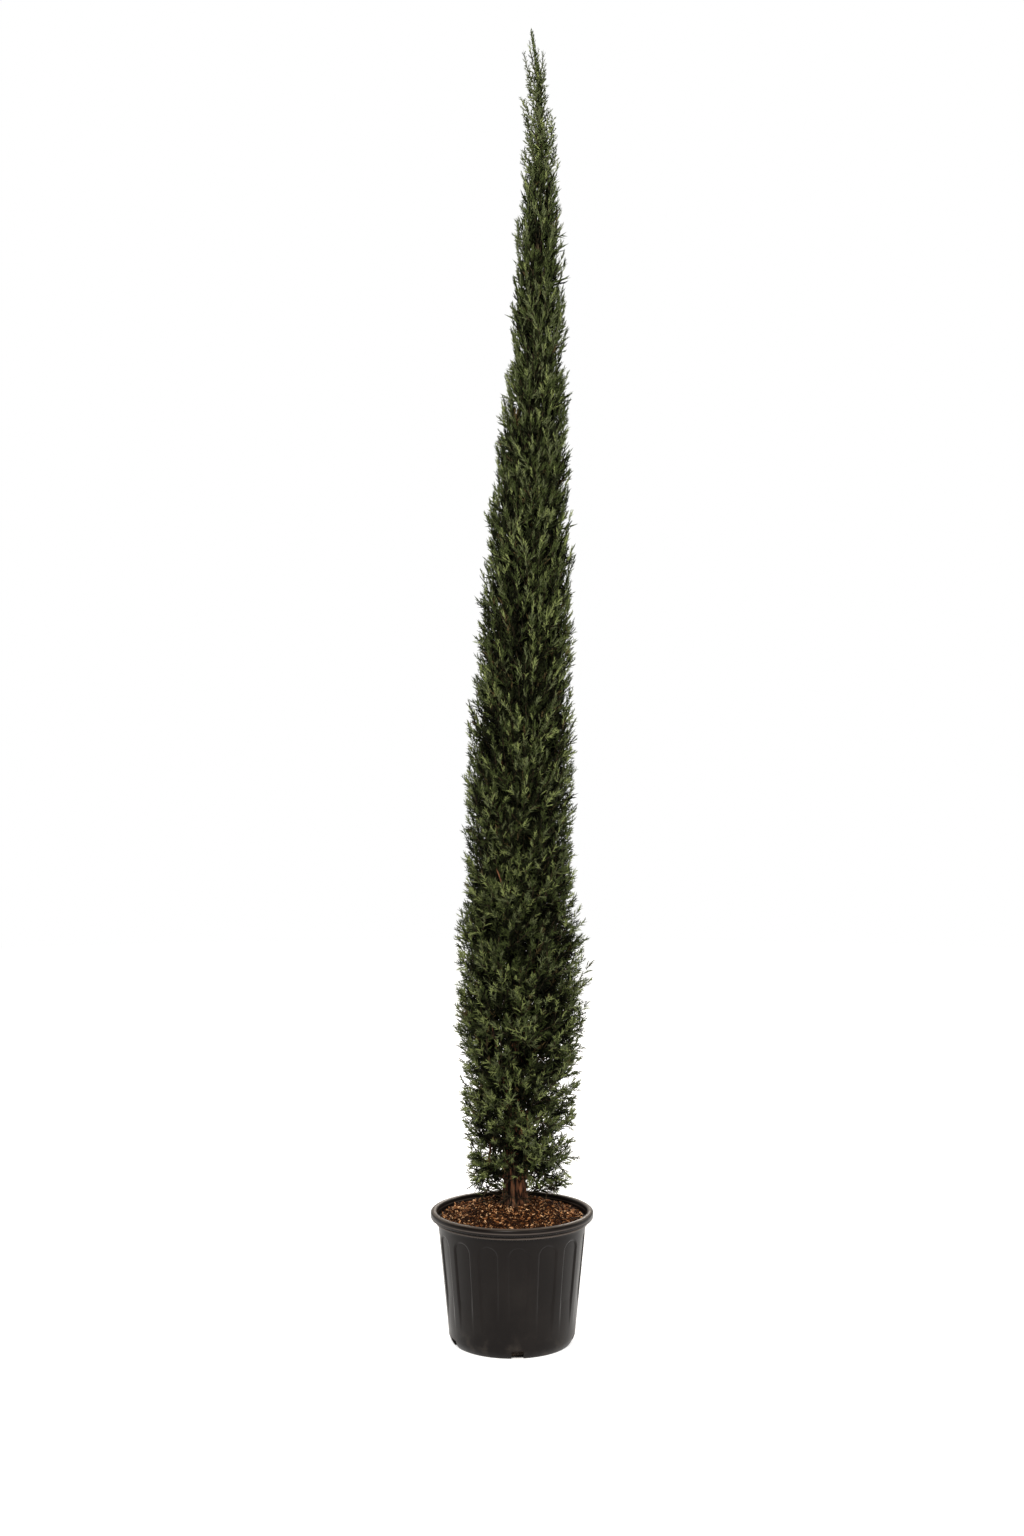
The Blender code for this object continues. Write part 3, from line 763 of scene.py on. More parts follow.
@dataclass(frozen=True)
class Pot:
    """Nursery pot with a rolled lip, a step ring, arched flutes and drain notches."""

    wall_top: float = 0.1993
    wall_top_radius: float = 0.1245
    wall_foot: float = 0.012
    wall_foot_radius: float = 0.1060
    foot_radius: float = 0.0987
    wall: float = 0.0022
    floor: float = 0.003
    columns: int = 480
    arch_rows: int = 17
    arch_row_foot: float = 0.1655
    arch_row_step: float = 0.0016
    wall_rows: int = 15
    wall_row_top: float = 0.158
    wall_row_step: float = 0.0088
    flutes: int = 15
    flute_depth: float = 0.0028
    flute_turn: float = math.radians(5.0)
    flute_half_width: float = math.radians(8.6)
    flute_edge: float = 0.26
    flute_top: float = 0.188
    flute_arch: float = 0.018
    flute_foot: float = 0.028
    flute_full: float = 0.110
    skin: float = 0.001
    notches: int = 5
    notch_size: Point = (0.020, 0.030, 0.028)
    notch_out: float = 0.004
    notch_bevel: float = 0.002
    edge_angle: float = math.radians(38.0)

    def wall_radius(self, height: float) -> float:
        """Outer radius of the tapered wall, before fluting."""
        share = (height - self.wall_foot) / (self.wall_top - self.wall_foot)
        return mix(self.wall_foot_radius, self.wall_top_radius, share)

    def profile(self) -> list[Span]:
        """(radius, height) points from the floor inside, over the lip, to the underside."""
        inside = [(0.0, self.floor), (self.foot_radius - 0.004, self.floor)]
        inside += [(self.wall_radius(z) - self.wall, z) for z in (0.014, 0.060, 0.120, 0.180, 0.196)]
        lip = [
            (0.1258, 0.2035),
            (0.1262, 0.2120),
            (0.1266, 0.2168),
            (0.1273, 0.2185),
            (0.1286, 0.2196),
            (0.1305, 0.2200),
            (0.1326, 0.2199),
            (0.1340, 0.2194),
            (0.1346, 0.2186),
            (0.1352, 0.2184),
            (0.1361, 0.2178),
            (0.1368, 0.2164),
            (0.1370, 0.2140),
            (0.1370, 0.2110),
            (0.1367, 0.2090),
            (0.1361, 0.2079),
            (0.1352, 0.2076),
            (0.1338, 0.2080),
            (0.1306, 0.2092),
            (0.1290, 0.2088),
            (0.1283, 0.2078),
        ]
        step = [
            (0.1281, 0.2048),
            (0.1284, 0.2038),
            (0.1290, 0.2034),
            (0.1293, 0.2028),
            (0.1293, 0.2014),
            (0.1289, 0.2006),
            (0.1280, 0.2003),
            (0.1256, 0.2001),
            (0.1248, 0.1998),
        ]
        rows = [self.arch_row_foot + self.arch_row_step * i for i in reversed(range(self.arch_rows))]
        rows += [self.wall_row_top - self.wall_row_step * i for i in range(self.wall_rows)]
        outside = [(self.wall_top_radius, self.wall_top)]
        outside += [(self.wall_radius(z), z) for z in (0.1955, *rows, 0.021)]
        foot = [
            (self.wall_foot_radius + 0.0002, 0.0135),
            (self.wall_foot_radius - 0.0010, 0.0100),
            (self.wall_foot_radius - 0.0026, 0.0062),
            (self.wall_foot_radius - 0.0046, 0.0030),
            (self.foot_radius + 0.0010, 0.0008),
            (self.foot_radius, 0.0),
            (0.0, 0.0),
        ]
        return inside + lip + step + outside + foot

    def flute_share(self, place: Vector) -> float:
        """How deep the flutes are pressed: flat floored, arched at the top, fading at the foot.

        Args:
            place: A place on the pot.

        Returns:
            The share of a flute's depth there, 0 between the flutes.
        """
        radius = math.hypot(place.x, place.y)
        if not self.flute_foot < place.z < self.flute_top or radius < self.wall_radius(place.z) - self.skin:
            return 0.0
        pitch = 2 * math.pi / self.flutes
        angle = math.atan2(place.y, place.x) + math.pi / 2 - self.flute_turn
        off_centre = abs(math.remainder(angle, pitch)) / self.flute_half_width
        above = max(0.0, place.z - (self.flute_top - self.flute_arch)) / self.flute_arch
        outside = math.hypot(off_centre, above) if above > 0 else off_centre
        edge = smooth((1.0 - outside) / self.flute_edge)
        return edge * smooth((place.z - self.flute_foot) / (self.flute_full - self.flute_foot))

    def cut_notches(self, shell: bpy.types.Object) -> None:
        """Cut the drain notches through the foot of the wall."""
        reach = self.foot_radius + self.notch_out
        for i in range(self.notches):
            turn = 2 * math.pi * i / self.notches + self.flute_turn
            cutter = begin(
                "notch_cutter",
                bpy.ops.mesh.primitive_cube_add,
                size=1.0,
                location=(reach * math.sin(turn), -reach * math.cos(turn), 0.0),
                rotation=(0.0, 0.0, turn),
                scale=self.notch_size,
            )
            bpy.ops.mesh.bevel(offset=self.notch_bevel, segments=2, affect="EDGES")
            done()
            only(shell)
            cut = shell.modifiers.new("notch", "BOOLEAN")
            cut.object = cutter
            bpy.ops.object.modifier_apply(modifier=cut.name)
            bpy.data.objects.remove(cutter)

    def build(self) -> None:
        """Model and dress the pot."""
        shell = turned_shell("pot_shell", self.profile(), self.columns)
        press(shell, self.flute_depth, self.flute_share)
        self.cut_notches(shell)
        only(shell)
        bpy.ops.object.shade_smooth_by_angle(angle=self.edge_angle)
        finish_piece(shell, [PotPlastic().material()], Slot.POT, "pot")


# Mulch


@dataclass(frozen=True)
class Mulch:
    """A low mound of bark chips, with the trunk standing in it."""

    radius: float = 0.1203
    foot: float = 0.200
    edge_height: float = 0.2055
    top_height: float = 0.2255
    steep_share: float = 0.65
    lump_height: float = 0.0022
    lumps: float = 90.0
    even_rim: float = 0.004
    even_foot: float = 0.0001
    sides: int = 96
    rings: int = 26
    chips: int = 5700
    crumbs: int = 4200
    chip_length: Span = (0.0024, 0.0063)
    crumb_length: Span = (0.0016, 0.0034)
    chip_lift: float = 0.0074
    crumb_lift: float = 0.0052
    small_bias: float = 1.7
    rim_room: float = 0.42
    tilt: float = 0.42
    roll: float = 0.45
    chip_kinds: int = 7
    chip_bend: float = 0.14
    half_width: Span = (0.16, 0.30)
    half_thickness: Span = (0.06, 0.12)
    end_taper: Span = (0.5, 1.0)
    raggedness: float = 0.08

    def height_at(self, radius: float) -> float:
        """The mound's mean height at a radius."""
        share = (1 - radius / self.radius) / self.steep_share
        return mix(self.edge_height, self.top_height, smooth(share))

    def bed(self) -> bpy.types.Object:
        """The mound's own surface, which shows dark between the chips, partly as painted shade."""
        mound = begin(
            "mulch_bed",
            bpy.ops.mesh.primitive_circle_add,
            vertices=self.sides,
            radius=self.radius,
            fill_type="NGON",
            location=(0.0, 0.0, self.foot),
        )
        rise = self.edge_height - self.foot
        bpy.ops.mesh.extrude_region_move(TRANSFORM_OT_translate={"value": (0.0, 0.0, rise)})
        step = self.radius / (self.rings + 1)
        for ring in range(self.rings):
            outer = self.radius - ring * step
            rise = self.height_at(outer - step) - self.height_at(outer)
            bpy.ops.mesh.inset(thickness=step, depth=rise)
        done(merges=False)
        press(mound, -self.lump_height, self.lump_share)
        return mound

    def lump_share(self, place: Vector) -> float:
        """The mound's unevenness at a place, none at its edge."""
        radius = math.hypot(place.x, place.y)
        if place.z <= self.edge_height + self.even_foot or radius > self.radius - self.even_rim:
            return 0.0
        return 0.5 + noise.noise(place * self.lumps) * 0.5

    def chip_shape(self, rng: random.Random) -> Shape:
        """A split and broken chip: a box one unit long, tapered, bent and ragged at its ends.

        Args:
            rng: Where its own bends come from.

        Returns:
            The chip along X, with a ring of four corners at each end and one between.
        """
        bend = rng.uniform(-self.chip_bend, self.chip_bend)
        points = []
        for along, is_end in ((-0.5, True), (0.05, False), (0.5, True)):
            width = rng.uniform(*self.half_width) * (rng.uniform(*self.end_taper) if is_end else 1.0)
            thickness = rng.uniform(*self.half_thickness)
            bow = bend * (1 - 4 * along * along)
            for across, up in ((-1, -1), (1, -1), (1, 1), (-1, 1)):
                x = along + rng.uniform(-self.raggedness, self.raggedness)
                points.append((x, across * width + bow, up * thickness + bow * 0.5))
        faces = [(0, 3, 2), (0, 2, 1), (8, 9, 10), (8, 10, 11)]
        for low in (0, 4):
            for i in range(4):
                j = (i + 1) % 4
                faces += [(low + i, low + j, low + 4 + j), (low + i, low + 4 + j, low + 4 + i)]
        return Shape(np.array(points), np.array(faces))

    def lay_chip(self, scatter: Scatter, rng: random.Random, lengths: Span, most_lift: float) -> None:
        """Lay one chip at any angle somewhere on the mound.

        Args:
            scatter: The layer that it joins.
            rng: Where its size, place, turn and tone come from.
            lengths: The shortest and the longest that it may be; most are short.
            most_lift: How far above the mound's mean height it may lie.
        """
        length = mix(*lengths, rng.random() ** self.small_bias)
        radius = (self.radius - length * self.rim_room) * math.sqrt(rng.random())
        angle = rng.uniform(0, 2 * math.pi)
        height = self.height_at(radius) + rng.uniform(0.0, most_lift)
        place = Vector((radius * math.cos(angle), radius * math.sin(angle), height))
        tilt = rng.gauss(0.0, self.tilt)
        turn = Matrix.Rotation(rng.uniform(0, 2 * math.pi), 4, "Z") @ Matrix.Rotation(tilt, 4, "Y")
        turn = turn @ Matrix.Rotation(rng.gauss(0.0, self.roll), 4, "X")
        tone = rng.choices(range(len(CHIP_WOODS)), CHIP_SHARES)[0]
        matrix = Matrix.Translation(place) @ turn @ Matrix.Scale(length, 4)
        scatter.add(matrix, rng.randrange(len(scatter.shapes)), tone)

    def chip_layer(self) -> bpy.types.Object:
        """Chips lying at all angles over the mound, with crumbs among them."""
        shape_rng = random.Random(CHIP_SHAPE_SEED)
        scatter = Scatter([self.chip_shape(shape_rng) for _ in range(self.chip_kinds)])
        rng = random.Random(CHIP_SEED)
        for _ in range(self.chips):
            self.lay_chip(scatter, rng, self.chip_length, self.chip_lift)
        for _ in range(self.crumbs):
            self.lay_chip(scatter, rng, self.crumb_length, self.crumb_lift)
        layer = scatter.joined("mulch_chips")
        layer.data.shade_flat()
        return layer

    def build(self) -> None:
        """Model and dress the mound and its chips."""
        # The bed takes the darkest chip colour: the deeper mulch, partly painted shade between the chips
        finish_piece(self.bed(), [CHIP_WOODS[0].material()], Slot.CHIPS, "bark_mulch")
        finish_piece(self.chip_layer(), [wood.material() for wood in CHIP_WOODS], Slot.CHIPS)


# The tree's form


@dataclass(frozen=True)
class TreeForm:
    """The tree's named sizes and the curves that they give, the same as its solids have."""

    trunk_foot: float = 0.2263
    trunk_top: float = 1.950
    trunk_foot_radius: float = 0.0195
    trunk_tip_radius: float = 0.0028
    trunk_taper: float = 0.9
    flare: float = 0.0095
    flare_height: float = 0.016
    lean_foot: float = 0.004
    lean_rise: float = 0.044
    lean_from: float = 0.50
    lean_to: float = 2.00
    hook: float = 0.017
    hook_from: float = 2.03
    tip: float = 2.21
    crown_floor: float = 0.243
    crown_foot_radius: float = 0.084
    crown_widest: float = 0.60
    widest_radius: float = 0.107
    crown_taper: float = 0.75
    columns: int = 3
    column_start: float = math.radians(-75.0)
    tiers: int = 7
    first_tier: float = 0.260
    leader_foot: float = 1.935
    tier_shrink: float = 0.92
    bough_lift: float = 0.018
    lowest_bough: float = 0.222
    core_lift: float = 0.038
    lowest_core: float = 0.225
    drift: float = 0.010
    drift_from: float = 0.60
    drift_to: float = 0.95

    def axis_at(self, height: float) -> Vector:
        """The tree's centre line at a height."""
        share = (height - self.lean_from) / (self.lean_to - self.lean_from)
        past = max(0.0, height - self.hook_from) / (self.tip - self.hook_from)
        x = self.lean_foot + self.lean_rise * smooth(share) - self.hook * past * past
        return Vector((x, 0.0, height))

    def crown_radius(self, height: float) -> float:
        """The crown's mean outline: a short belly, then a long taper to the tip."""
        if height < self.crown_widest:
            share = (height - self.crown_floor) / (self.crown_widest - self.crown_floor)
            return mix(self.crown_foot_radius, self.widest_radius, smooth(share))
        left = (self.tip - min(height, self.tip)) / (self.tip - self.crown_widest)
        return self.widest_radius * left**self.crown_taper

    def trunk_radius(self, height: float) -> float:
        """The trunk's mean radius, with its root flare."""
        share = (self.trunk_top - height) / (self.trunk_top - self.trunk_foot)
        flare = self.flare * math.exp(-(height - self.trunk_foot) / self.flare_height)
        taper = min(max(share, 0.0), 1.0) ** self.trunk_taper
        return mix(self.trunk_tip_radius, self.trunk_foot_radius, taper) + flare

    def tier_foot(self, tier: float) -> float:
        """Height where a tier's space meets the tree's axis."""
        return mix(self.first_tier, self.leader_foot, (tier / self.tiers) ** self.tier_shrink)

    def reach(self, point: Vector) -> float:
        """How far from the axis the foliage goes at a point's height, on the point's side."""
        offset = point - self.axis_at(point.z)
        heading = math.atan2(offset.y, offset.x)
        lean = 1 - smooth((point.z - self.drift_from) / (self.drift_to - self.drift_from))
        radius = self.crown_radius(point.z) + self.drift * lean * math.cos(heading)
        for swell in SWELLS:
            radius += swell.at(point.z, heading)
        return radius


@dataclass(frozen=True)
class Swell:
    """A place where the crown's outline stands out or draws in, all round or on one side."""

    height: float
    amount: float
    spread: float
    heading: float | None = None
    half_width: float = 0.8

    def at(self, height: float, heading: float) -> float:
        """How much it adds to the outline at a height and heading."""
        share = bell(height - self.height, self.spread)
        if self.heading is not None:
            share *= bell(math.remainder(heading - self.heading, 2 * math.pi), self.half_width)
        return self.amount * share


RIGHT = 0.0
LEFT = math.pi
SWELLS = (
    Swell(0.540, 0.008, 0.030, RIGHT),
    Swell(0.800, -0.008, 0.060),
    Swell(1.060, 0.006, 0.040, LEFT),
    Swell(1.313, 0.007, 0.022, RIGHT),
    Swell(1.380, 0.007, 0.030, LEFT),
    Swell(1.492, 0.013, 0.014, LEFT),
    Swell(1.512, -0.009, 0.025, RIGHT),
    Swell(1.650, -0.009, 0.030),
    Swell(1.785, 0.005, 0.030, RIGHT),
    Swell(1.853, 0.006, 0.030, LEFT),
)


@dataclass(frozen=True)
class Space:
    """The part of the crown that one mass grows in.

    A level is a height less the space's slope, so its limits rise outwards from the tree's axis.
    """

    form: TreeForm
    foot: float
    top: float
    bough_level: float
    core_level: float
    heading: float
    half: float
    rise: float = 1.5
    twist: float = 0.9
    core_reach: float = 0.68
    core_reach_lift: float = 0.06
    core_sector_share: float = 0.84
    core_top_share: float = 0.97
    trunk_room: float = 0.0055
    hem_drop: float = 0.008
    room_step: float = 0.004

    def heading_at(self, height: float) -> float:
        """The heading of the space's middle at a height."""
        return self.heading + self.twist * height

    def core_point(self, across: float, out: float, along: float) -> Vector:
        """A point of the mass's core from its own coordinates, each from -1 to 1.

        Args:
            across: The place round the axis, clockwise as seen from above.
            out: The place outwards from the trunk.
            along: The place upwards from the core's foot.

        Returns:
            The point.
        """
        top = mix(self.foot, self.top, self.core_top_share)
        level = mix(self.core_level, top, (along + 1) / 2)
        outer = self.form.crown_radius(level + self.core_reach_lift) * self.core_reach
        inner = self.form.trunk_radius(level) + self.trunk_room
        radius = mix(inner, outer, (out + 1) / 2)
        height = level + self.rise * radius
        heading = self.heading_at(height) - across * self.half * self.core_sector_share
        return self.form.axis_at(height) + radius * towards(heading)

    def holds(self, point: Vector, reach: float) -> bool:
        """Whether a point lies off the mulch and inside a share of the crown's reach."""
        offset = point - self.form.axis_at(point.z)
        if not self.form.crown_floor - self.hem_drop < point.z < self.form.tip:
            return False
        return math.hypot(offset.x, offset.y) < self.form.reach(point) * reach

    def room(self, start: Vector, direction: Vector, reach: float, most: float) -> float:
        """How far a straight twig can run before it leaves the crown.

        Args:
            start: Where it starts.
            direction: The way it runs.
            reach: The share of the crown's reach that it keeps to.
            most: The longest that it may be.

        Returns:
            Its length.
        """
        run = self.room_step
        while run < most and self.holds(start + direction * run, reach):
            run += self.room_step
        return run - self.room_step


def tree_spaces(form: TreeForm) -> list[Space]:
    """The masses' spaces, column by column from the foot, in the solids' order."""
    made = []
    for column in range(form.columns):
        heading = form.column_start + column * 2 * math.pi / form.columns
        shift = (column - 1) / form.columns
        ends = [0.0, *(tier + shift for tier in range(1, form.tiers)), form.tiers]
        for tier in range(form.tiers):
            foot = form.tier_foot(ends[tier])
            bough_level, core_level = foot + form.bough_lift, foot + form.core_lift
            if tier == 0:
                foot, bough_level, core_level = 0.0, form.lowest_bough, form.lowest_core
            top = form.tier_foot(ends[tier + 1])
            made.append(Space(form, foot, top, bough_level, core_level, heading, math.pi / form.columns))
    return made


# Trunk and boughs


@dataclass(frozen=True)
class Trunk:
    """The trunk: stems grown together, with a deep cleft, a root flare and stringy bark."""

    form: TreeForm
    sides: int = 72
    near_step: float = 0.0032
    near_top: float = 0.36
    far_rings: int = 46
    far_spread: float = 1.3
    lobes: int = 3
    lobe_turn: float = math.radians(-140.0)
    lobe_share: float = 0.45
    cleft_heading: float = math.radians(-58.0)
    cleft_half_width: float = 0.15
    cleft_wander: float = 0.10
    cleft_waves: float = 60.0
    cleft_share: float = 0.75
    cleft_depth: float = 0.0060
    fusion_height: float = 0.30
    strip_depth: float = 0.0026
    strip_twist: float = 1.1
    coarse_waves: Span = (165.0, 17.0)
    fine_waves: Span = (420.0, 40.0)
    fine_shift: Point = (7.0, 3.0, 0.0)
    fissure_width: float = 0.26
    coarse_share: float = 0.75
    top_share: float = 0.25

    def heights(self) -> list[float]:
        """Heights of the trunk's rings, close together where it shows."""
        count = round((self.near_top - self.form.trunk_foot) / self.near_step)
        near = [self.form.trunk_foot + self.near_step * i for i in range(count)]
        shares = [(i / self.far_rings) ** self.far_spread for i in range(self.far_rings + 1)]
        return near + [mix(self.near_top, self.form.trunk_top, share) for share in shares]

    def stem(self) -> bpy.types.Object:
        """The plain tapered trunk, extruded ring by ring along the tree's leaning axis."""
        heights = self.heights()
        form = self.form
        trunk = begin(
            "trunk_bark",
            bpy.ops.mesh.primitive_circle_add,
            vertices=self.sides,
            radius=form.trunk_radius(heights[0]),
            fill_type="NGON",
            location=form.axis_at(heights[0]),
        )
        for low, high in zip(heights, heights[1:]):
            step = form.axis_at(high) - form.axis_at(low)
            bpy.ops.mesh.extrude_region_move(TRANSFORM_OT_translate={"value": step})
            share = form.trunk_radius(high) / form.trunk_radius(low)
            bpy.ops.transform.resize(value=(share, share, 1.0), center_override=form.axis_at(high))
        done(merges=False)
        return trunk

    def heading_of(self, place: Vector) -> float:
        """The heading of a place from the tree's axis."""
        offset = place - self.form.axis_at(place.z)
        return math.atan2(offset.y, offset.x)

    def fusion_share(self, place: Vector) -> float:
        """How deep the folds between the grown-together stems lie at a place."""
        heading = self.heading_of(place)
        fade = math.exp(-(place.z - self.form.trunk_foot) / self.fusion_height)
        fold = 0.5 - 0.5 * math.cos(self.lobes * (heading - self.lobe_turn))
        middle = self.cleft_heading + self.cleft_wander * math.sin(place.z * self.cleft_waves)
        cleft = bell(math.remainder(heading - middle, 2 * math.pi), self.cleft_half_width)
        return fade * (self.lobe_share * fold**3 + self.cleft_share * cleft)

    def strip_share(self, place: Vector) -> float:
        """How deep the fissures between the strips of bark lie at a place."""
        radius = self.form.trunk_foot_radius
        twisted = self.heading_of(place) + self.strip_twist * (place.z - self.form.trunk_foot)
        spot = towards(twisted) * radius
        across, along = self.coarse_waves
        coarse = noise.noise(spot * across + UP * (place.z * along))
        across, along = self.fine_waves
        fine = noise.noise(spot * across + UP * (place.z * along) + Vector(self.fine_shift))
        fissure = smooth(1.0 - abs(coarse) / self.fissure_width)
        cut = fissure * self.coarse_share + smooth(0.5 - fine) * (1.0 - self.coarse_share)
        return cut * mix(self.top_share, 1.0, self.form.trunk_radius(place.z) / radius)

    def build(self, bark: bpy.types.Material) -> None:
        """Model and dress the trunk."""
        trunk = self.stem()
        press(trunk, self.cleft_depth, self.fusion_share)
        press(trunk, self.strip_depth, self.strip_share)
        trunk.data.shade_smooth()
        finish_piece(trunk, [bark], Slot.BARK, "trunk")


def curve_through(anchors: Sequence[Vector], share: float) -> Vector:
    """A point on a Bezier curve.

    Args:
        anchors: The curve's four anchors.
        share: How far along the curve, from 0 to 1.

    Returns:
        The point.
    """
    left = 1 - share
    weights = (left**3, 3 * left * left * share, 3 * left * share * share, share**3)
    return sum((anchor * weight for anchor, weight in zip(anchors, weights)), Vector())


def way_along(anchors: Sequence[Vector], share: float, step: float = 0.05) -> Vector:
    """The way that a Bezier curve runs.

    Args:
        anchors: The curve's four anchors.
        share: How far along the curve, from 0 to 1.
        step: How far before and after that the two points lie that give the way.

    Returns:
        The direction, one unit long.
    """
    before = curve_through(anchors, share - step)
    after = curve_through(anchors, min(share + step, 1.0))
    return (after - before).normalized()


def opened(ahead: Vector, turn: float, angle: float) -> Vector:
    """A direction opened from the one ahead.

    Args:
        ahead: The direction ahead, one unit long.
        turn: How far round it the new direction lies.
        angle: The angle between the two.

    Returns:
        The new direction.
    """
    away = Matrix.Rotation(turn, 3, ahead) @ ahead.orthogonal().normalized()
    return ahead * math.cos(angle) + away * math.sin(angle)


@dataclass(frozen=True)
class Bough:
    """One steep limb, from inside the trunk's bark up through its mass."""

    space: Space
    number: int
    radius_share: float = 0.052
    tip_radius: float = 0.0011
    taper: float = 0.85
    sunk_share: float = 0.72
    slope: float = 1.8
    bend: float = 0.4
    points: int = 12
    sides: int = 14
    stem_out: float = -0.1
    heart: float = -0.6
    stem_top: float = 0.98
    wave: float = 0.10
    waves: float = 5.0
    strip_depth: float = 0.0010
    strips: Point = (420.0, 420.0, 45.0)
    strip_width: float = 0.3

    @cached_property
    def root_height(self) -> float:
        """Height at which it leaves the trunk."""
        level = self.space.bough_level
        return level + self.space.rise * self.space.form.trunk_radius(level)

    def path(self) -> list[Vector]:
        """Points along it: out and up to the foot of the mass, then up through the mass's middle."""
        form = self.space.form
        height = self.root_height
        outward = towards(self.space.heading_at(height))
        start = form.axis_at(height) + outward * form.trunk_radius(height) * self.sunk_share
        foot = self.space.core_point(0.0, self.stem_out, -1.0)
        heart = self.space.core_point(0.0, self.stem_out, self.heart)
        pull = (foot - start).length * self.bend
        rising = (outward + UP * self.slope).normalized()
        onward = (heart - foot).normalized()
        anchors = (start, start + rising * pull, foot - onward * pull, foot)
        lower = [curve_through(anchors, i / self.points) for i in range(self.points)]
        upper = [self.stem_at(mix(-1.0, self.stem_top, i / self.points)) for i in range(self.points + 1)]
        return lower + upper

    def stem_at(self, along: float) -> Vector:
        """A point of the part inside the mass, wavering a little."""
        across = self.wave * math.sin(self.waves * along + self.number)
        return self.space.core_point(across, self.stem_out, along)

    def radius_at(self, share: float) -> float:
        """Its radius a share of the way along."""
        thick = self.radius_share * self.space.form.crown_radius(self.root_height)
        return mix(thick, self.tip_radius, share**self.taper)

    def build(self, bark: bpy.types.Material) -> None:
        """Model and dress the bough, as a curve made a mesh, with its bark pressed in."""
        path = self.path()
        deselect_all()
        bpy.ops.curve.primitive_nurbs_path_add()
        curve = bpy.context.active_object
        curve.name = curve.data.name = f"bough_bark_{self.number:02d}"
        curve.data.splines.clear()
        spline = curve.data.splines.new("POLY")
        spline.points.add(len(path) - 1)
        for i, (target, point) in enumerate(zip(spline.points, path)):
            target.co = (*point, 1.0)
            target.radius = self.radius_at(i / (len(path) - 1))
        curve.data.bevel_depth = 1.0
        curve.data.bevel_resolution = self.sides // 2 - 2
        curve.data.use_fill_caps = True
        bpy.ops.object.convert(target="MESH")
        bough = bpy.context.active_object
        bpy.ops.object.mode_set(mode="EDIT")
        bpy.ops.mesh.select_all(action="SELECT")
        bpy.ops.mesh.subdivide(number_cuts=1)
        done()
        press(bough, self.strip_depth, self.strip_share)
        bough.data.shade_smooth()
        finish_piece(bough, [bark], Slot.BARK, f"bough_{self.number:02d}")

    def strip_share(self, place: Vector) -> float:
        """How deep its bark's fissures lie at a place."""
        return smooth(1.0 - abs(noise.noise(place * Vector(self.strips))) / self.strip_width)


# Foliage


@dataclass(frozen=True)
class SprigMaker:
    """Small sprigs of scale leaves: a bent axis with cords on both sides, shorter towards the tip."""

    kinds: int = 12
    length: float = 0.0165
    cords: tuple[int, int] = (5, 6)
    longest: float = 0.0118
    shortest: float = 0.0072
    cord_radius: float = 0.00114
    axis_radius: float = 0.00105
    root_angle: float = 0.85
    tip_angle: float = 0.42
    roll: float = 0.75
    side_bends: Span = (-0.0030, 0.0030)
    lifts: Span = (-0.002, 0.003)
    knee: float = 0.4
    cord_places: Span = (0.04, 0.84)
    place_range: Span = (-0.2, 0.2)
    angle_range: Span = (0.8, 1.2)
    length_range: Span = (0.75, 1.2)
    radius_range: Span = (0.85, 1.1)

    def shape(self, rng: random.Random) -> Shape:
        """One sprig along +Y, its cords mostly to both sides of it.

        Args:
            rng: Where its own bends come from.

        Returns:
            The sprig, with its root at the origin.
        """
        bend = rng.uniform(*self.side_bends)
        lift = rng.uniform(*self.lifts)

        def axis(share: float) -> Vector:
            """A point of the sprig's axis."""
            return Vector((bend * share * share, self.length * share, lift * share * share))

        made = [limb_shape([axis(0.0), axis(self.knee), axis(1.0)], [self.axis_radius])]
        count = rng.randint(*self.cords)
        for i in range(count):
            share = mix(*self.cord_places, (i + rng.uniform(*self.place_range)) / (count - 1))
            sign = 1 if i % 2 else -1
            angle = mix(self.root_angle, self.tip_angle, share) * rng.uniform(*self.angle_range)
            roll = rng.gauss(0.0, self.roll)
            out = Vector((sign * math.cos(roll), 0.0, math.sin(roll)))
            length = mix(self.longest, self.shortest, share) * rng.uniform(*self.length_range)
            root = axis(share)
            tip = root + (out * math.sin(angle) + Vector((0.0, math.cos(angle), 0.0))) * length
            made.append(cord_shape(root, tip, self.cord_radius * rng.uniform(*self.radius_range)))
        return joined_shape(made)

    def shapes(self) -> list[Shape]:
        """All the kinds of sprig."""
        rng = random.Random(SPRIG_SEED)
        return [self.shape(rng) for _ in range(self.kinds)]


SPRIGS = SprigMaker()
PLUME_SPRIGS = SprigMaker(length=0.0205, cord_radius=0.00118, root_angle=0.52, tip_angle=0.28)
TOP_SPRIGS = SprigMaker(
    kinds=8, length=0.0155, longest=0.0092, shortest=0.0058, cord_radius=0.00130, axis_radius=0.00100
)


